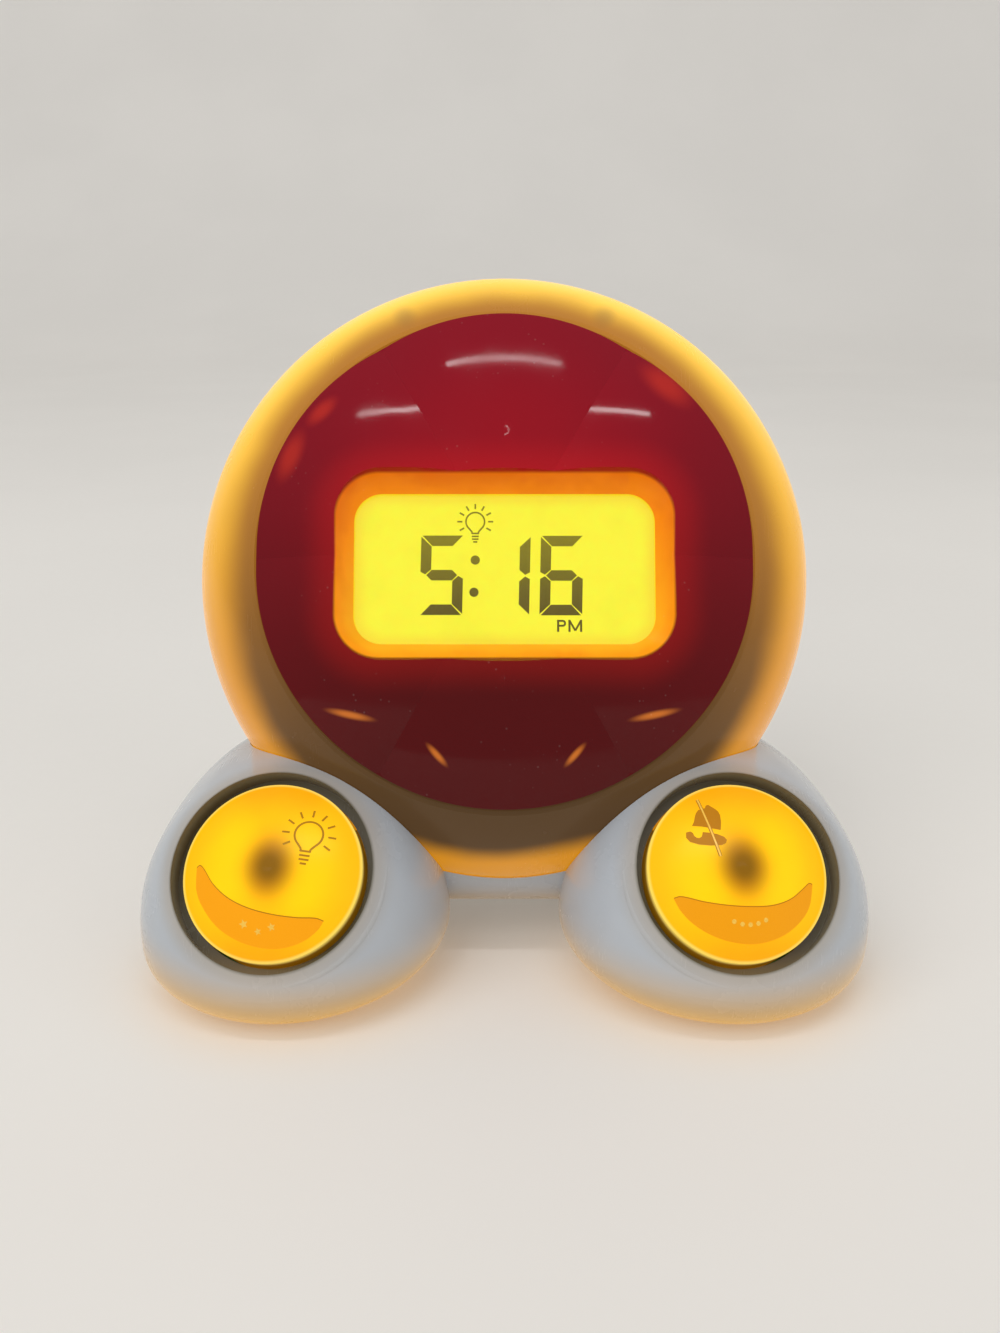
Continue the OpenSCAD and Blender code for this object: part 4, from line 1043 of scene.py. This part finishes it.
class CLOCK_OT_left_button_signs(bpy.types.Operator):
    """Lay the lamp and the moon on the left push button"""

    bl_idname = "clock.left_button_signs"
    bl_label = "Left button signs"

    def execute(self, context):
        size = context.scene.clock_signs
        lamp = bmesh.new()
        lamp_lines(lamp, *LAMP_SIGN_PLACE, LAMP_SIGN_RADIUS, size.line / MM)
        middle = Matrix.Translation((*LAMP_SIGN_PLACE, 0))
        lean = middle @ Matrix.Rotation(LAMP_SIGN_LEAN, 4, "Z") @ middle.inverted()
        bmesh.ops.transform(lamp, matrix=lean, verts=lamp.verts)
        lay_sign(lamp, "left_lamp_sign", size, "left_line_ink", 0.0, "left")
        lay_moon(LEFT_MOON, size, "left")
        stars = bmesh.new()
        for x, y, reach in STARS:
            star(stars, x, y, reach)
        lay_sign(stars, "left_star_signs", size, "button_plastic", 0.03, "left")
        return {"FINISHED"}


class CLOCK_OT_right_button_signs(bpy.types.Operator):
    """Lay the silenced bell and the moon on the right push button"""

    bl_idname = "clock.right_button_signs"
    bl_label = "Right button signs"

    def execute(self, context):
        size = context.scene.clock_signs
        bell = bmesh.new()
        outline_face(bell, BELL)
        outline_face(bell, BRIM)
        cut_small(bell, 0.7)
        lay_sign(bell, "right_bell_sign", size, "right_line_ink", -0.01, "right")
        for name, width, ink, raised in (
            ("right_slash_edge", 0.62, "right_line_ink", 0.02),
            ("right_slash_sign", 0.32, "button_plastic", 0.04),
        ):
            slash = bmesh.new()
            stroke(slash, *SLASH_ENDS, width, 14)
            lay_sign(slash, name, size, ink, raised, "right")
        lay_moon(RIGHT_MOON, size, "right")
        dots = bmesh.new()
        for i in range(5):
            disc(dots, -2.6 + 1.5 * i, -10.6 + 0.18 * (i - 2) ** 2, DOT_RADIUS, steps=16)
        lay_sign(dots, "right_dot_signs", size, "button_plastic", 0.03, "right")
        return {"FINISHED"}


# The studio, in metres: place and size of each lamp, and the floor that bends up into a backdrop.
LAMPS = {
    "key": ((-0.95, -1.15, 1.45), (1.6, 1.6)),
    "fill": ((1.35, -0.9, 0.75), (1.4, 1.4)),
    "strip": ((0.0, -0.47, 1.28), (0.86, 0.036)),
}
LAMP_AIM = Vector((0, -0.01, 0.06))
SWEEP_HALF_WIDTH = 3.0
SWEEP_FRONT = -2.4
SWEEP_BACK = 1.2
BEND_RADIUS = 0.8
WALL_HEIGHT = 2.4
CAMERA_PLACE = (-0.0009, -0.2421, 0.1432)
CAMERA_PITCH = 19.5


class CLOCK_OT_studio(bpy.types.Operator):
    """Set up the pale floor and backdrop, the lamps, the sky and the camera"""

    bl_idname = "clock.studio"
    bl_label = "Studio"

    def execute(self, context):
        size = context.scene.clock_studio
        self.sweep(size)
        self.sky(context.scene, size)
        for name, (place, (wide, deep)) in LAMPS.items():
            light = bpy.data.lights.new(name + "_lamp", "AREA")
            light.shape = "RECTANGLE"
            light.size = wide
            light.size_y = deep
            light.energy = getattr(size, name + "_power")
            lamp = bpy.data.objects.new(name + "_lamp", light)
            aim = (LAMP_AIM - Vector(place)).to_track_quat("-Z", "Y")
            lamp.matrix_world = Matrix.Translation(place) @ aim.to_matrix().to_4x4()
            lamp.visible_glossy = name == "strip"
            context.scene.collection.objects.link(lamp)
        self.camera(context.scene, size)
        return {"FINISHED"}

    def sweep(self, size):
        """Floor that bends up into a backdrop."""
        vert, edge = bmesh.types.BMVert, bmesh.types.BMEdge
        bm = bmesh.new()
        front = bm.edges.new([bm.verts.new((x * SWEEP_HALF_WIDTH, SWEEP_FRONT, 0)) for x in (-1, 1)])
        floor = bmesh.ops.extrude_edge_only(bm, edges=[front])["geom"]
        bmesh.ops.translate(bm, verts=only(vert, floor), vec=(0, SWEEP_BACK - SWEEP_FRONT, 0))
        last = only(edge, floor) + only(vert, floor)
        bent = spin(bm, last, (0, SWEEP_BACK, BEND_RADIUS), (1, 0, 0), 90, size.bend_steps)
        wall = bmesh.ops.extrude_edge_only(bm, edges=only(edge, bent))["geom"]
        bmesh.ops.translate(bm, verts=only(vert, wall), vec=(0, 0, WALL_HEIGHT))
        bmesh.ops.recalc_face_normals(bm, faces=bm.faces)
        for face in bm.faces:
            face.smooth = True
        floor_piece = new_object(bm, "studio_sweep", self.paper(size))

    def paper(self, size):
        """Faintly clouded paper, that shows paler than the light it gives back to the clock."""
        s = Finish("studio_paper")
        at = s.local(WORLD_MM)
        cloud = s.slope(s.noise(at, 0.004, 3.0), 0.3, 0.7)
        colour = s.mix(cloud, size.floor, shaded(size.floor, 0.97))
        s.put("Base Color", colour)
        s.put("Roughness", s.slope(s.noise(at, 0.3, 3.0, 0.6), 0.3, 0.7, 0.55, 0.65))
        path = s.add("LightPath").outputs
        seen = s.maths("MAXIMUM", path["Is Glossy Ray"], path["Is Transmission Ray"])
        seen = s.maths("MAXIMUM", path["Is Camera Ray"], seen)
        s.put("Emission Color", colour)
        s.put("Emission Strength", s.times(seen, size.paper_lift))
        return s.material

    def sky(self, scene, size):
        """The same faint light from all round."""
        world = scene.world or bpy.data.worlds.new("studio_sky")
        scene.world = world
        world.use_nodes = True
        world.node_tree.nodes.clear()
        s = Shader(world.node_tree)
        even = s.add("Background", {"Color": (1, 0.995, 0.985), "Strength": size.sky})
        end = s.add("OutputWorld")
        s.feed(end.inputs["Surface"], even.outputs[0])

    def camera(self, scene, size):
        """The camera, a little above the clock and looking down at it."""
        view = bpy.data.cameras.new("photo_view")
        view.lens = size.lens
        view.sensor_width = 36
        view.clip_start = 0.01
        holder = bpy.data.objects.new("photo_view", view)
        holder.matrix_world = turned(*CAMERA_PLACE, 90 - CAMERA_PITCH)
        scene.collection.objects.link(holder)
        scene.camera = holder
        scene.view_settings.view_transform = "Standard"


STEPS = (
    CLOCK_OT_finishes,
    CLOCK_OT_display_figures,
    CLOCK_OT_left_button_signs,
    CLOCK_OT_right_button_signs,
    CLOCK_OT_studio,
)
SETTINGS = {
    "clock_finish": ClockFinishSettings,
    "clock_figures": ClockFigureSettings,
    "clock_signs": ClockSignSettings,
    "clock_studio": ClockStudioSettings,
}


class CLOCK_PT_panel(bpy.types.Panel):
    """Lists the steps that dress the clock, and its sizes and colours"""

    bl_idname = "CLOCK_PT_panel"
    bl_label = "Night Light Clock"
    bl_space_type = "VIEW_3D"
    bl_region_type = "UI"
    bl_category = "Clock"

    def draw(self, context):
        layout = self.layout
        for operator in STEPS:
            layout.operator(operator.bl_idname)
        for group in SETTINGS:
            box = layout.box()
            settings = getattr(context.scene, group)
            for name in settings.__annotations__:
                box.prop(settings, name)


def register():
    for cls in (*SETTINGS.values(), *STEPS, CLOCK_PT_panel):
        bpy.utils.register_class(cls)
    for name, cls in SETTINGS.items():
        setattr(bpy.types.Scene, name, PointerProperty(type=cls))


def unregister():
    for name in SETTINGS:
        delattr(bpy.types.Scene, name)
    for cls in reversed((*SETTINGS.values(), *STEPS, CLOCK_PT_panel)):
        bpy.utils.unregister_class(cls)


def main():
    register()
    bpy.ops.clock.finishes()
    bpy.ops.clock.display_figures()
    bpy.ops.clock.left_button_signs()
    bpy.ops.clock.right_button_signs()
    bpy.ops.clock.studio()


if __name__ == "__main__":
    main()
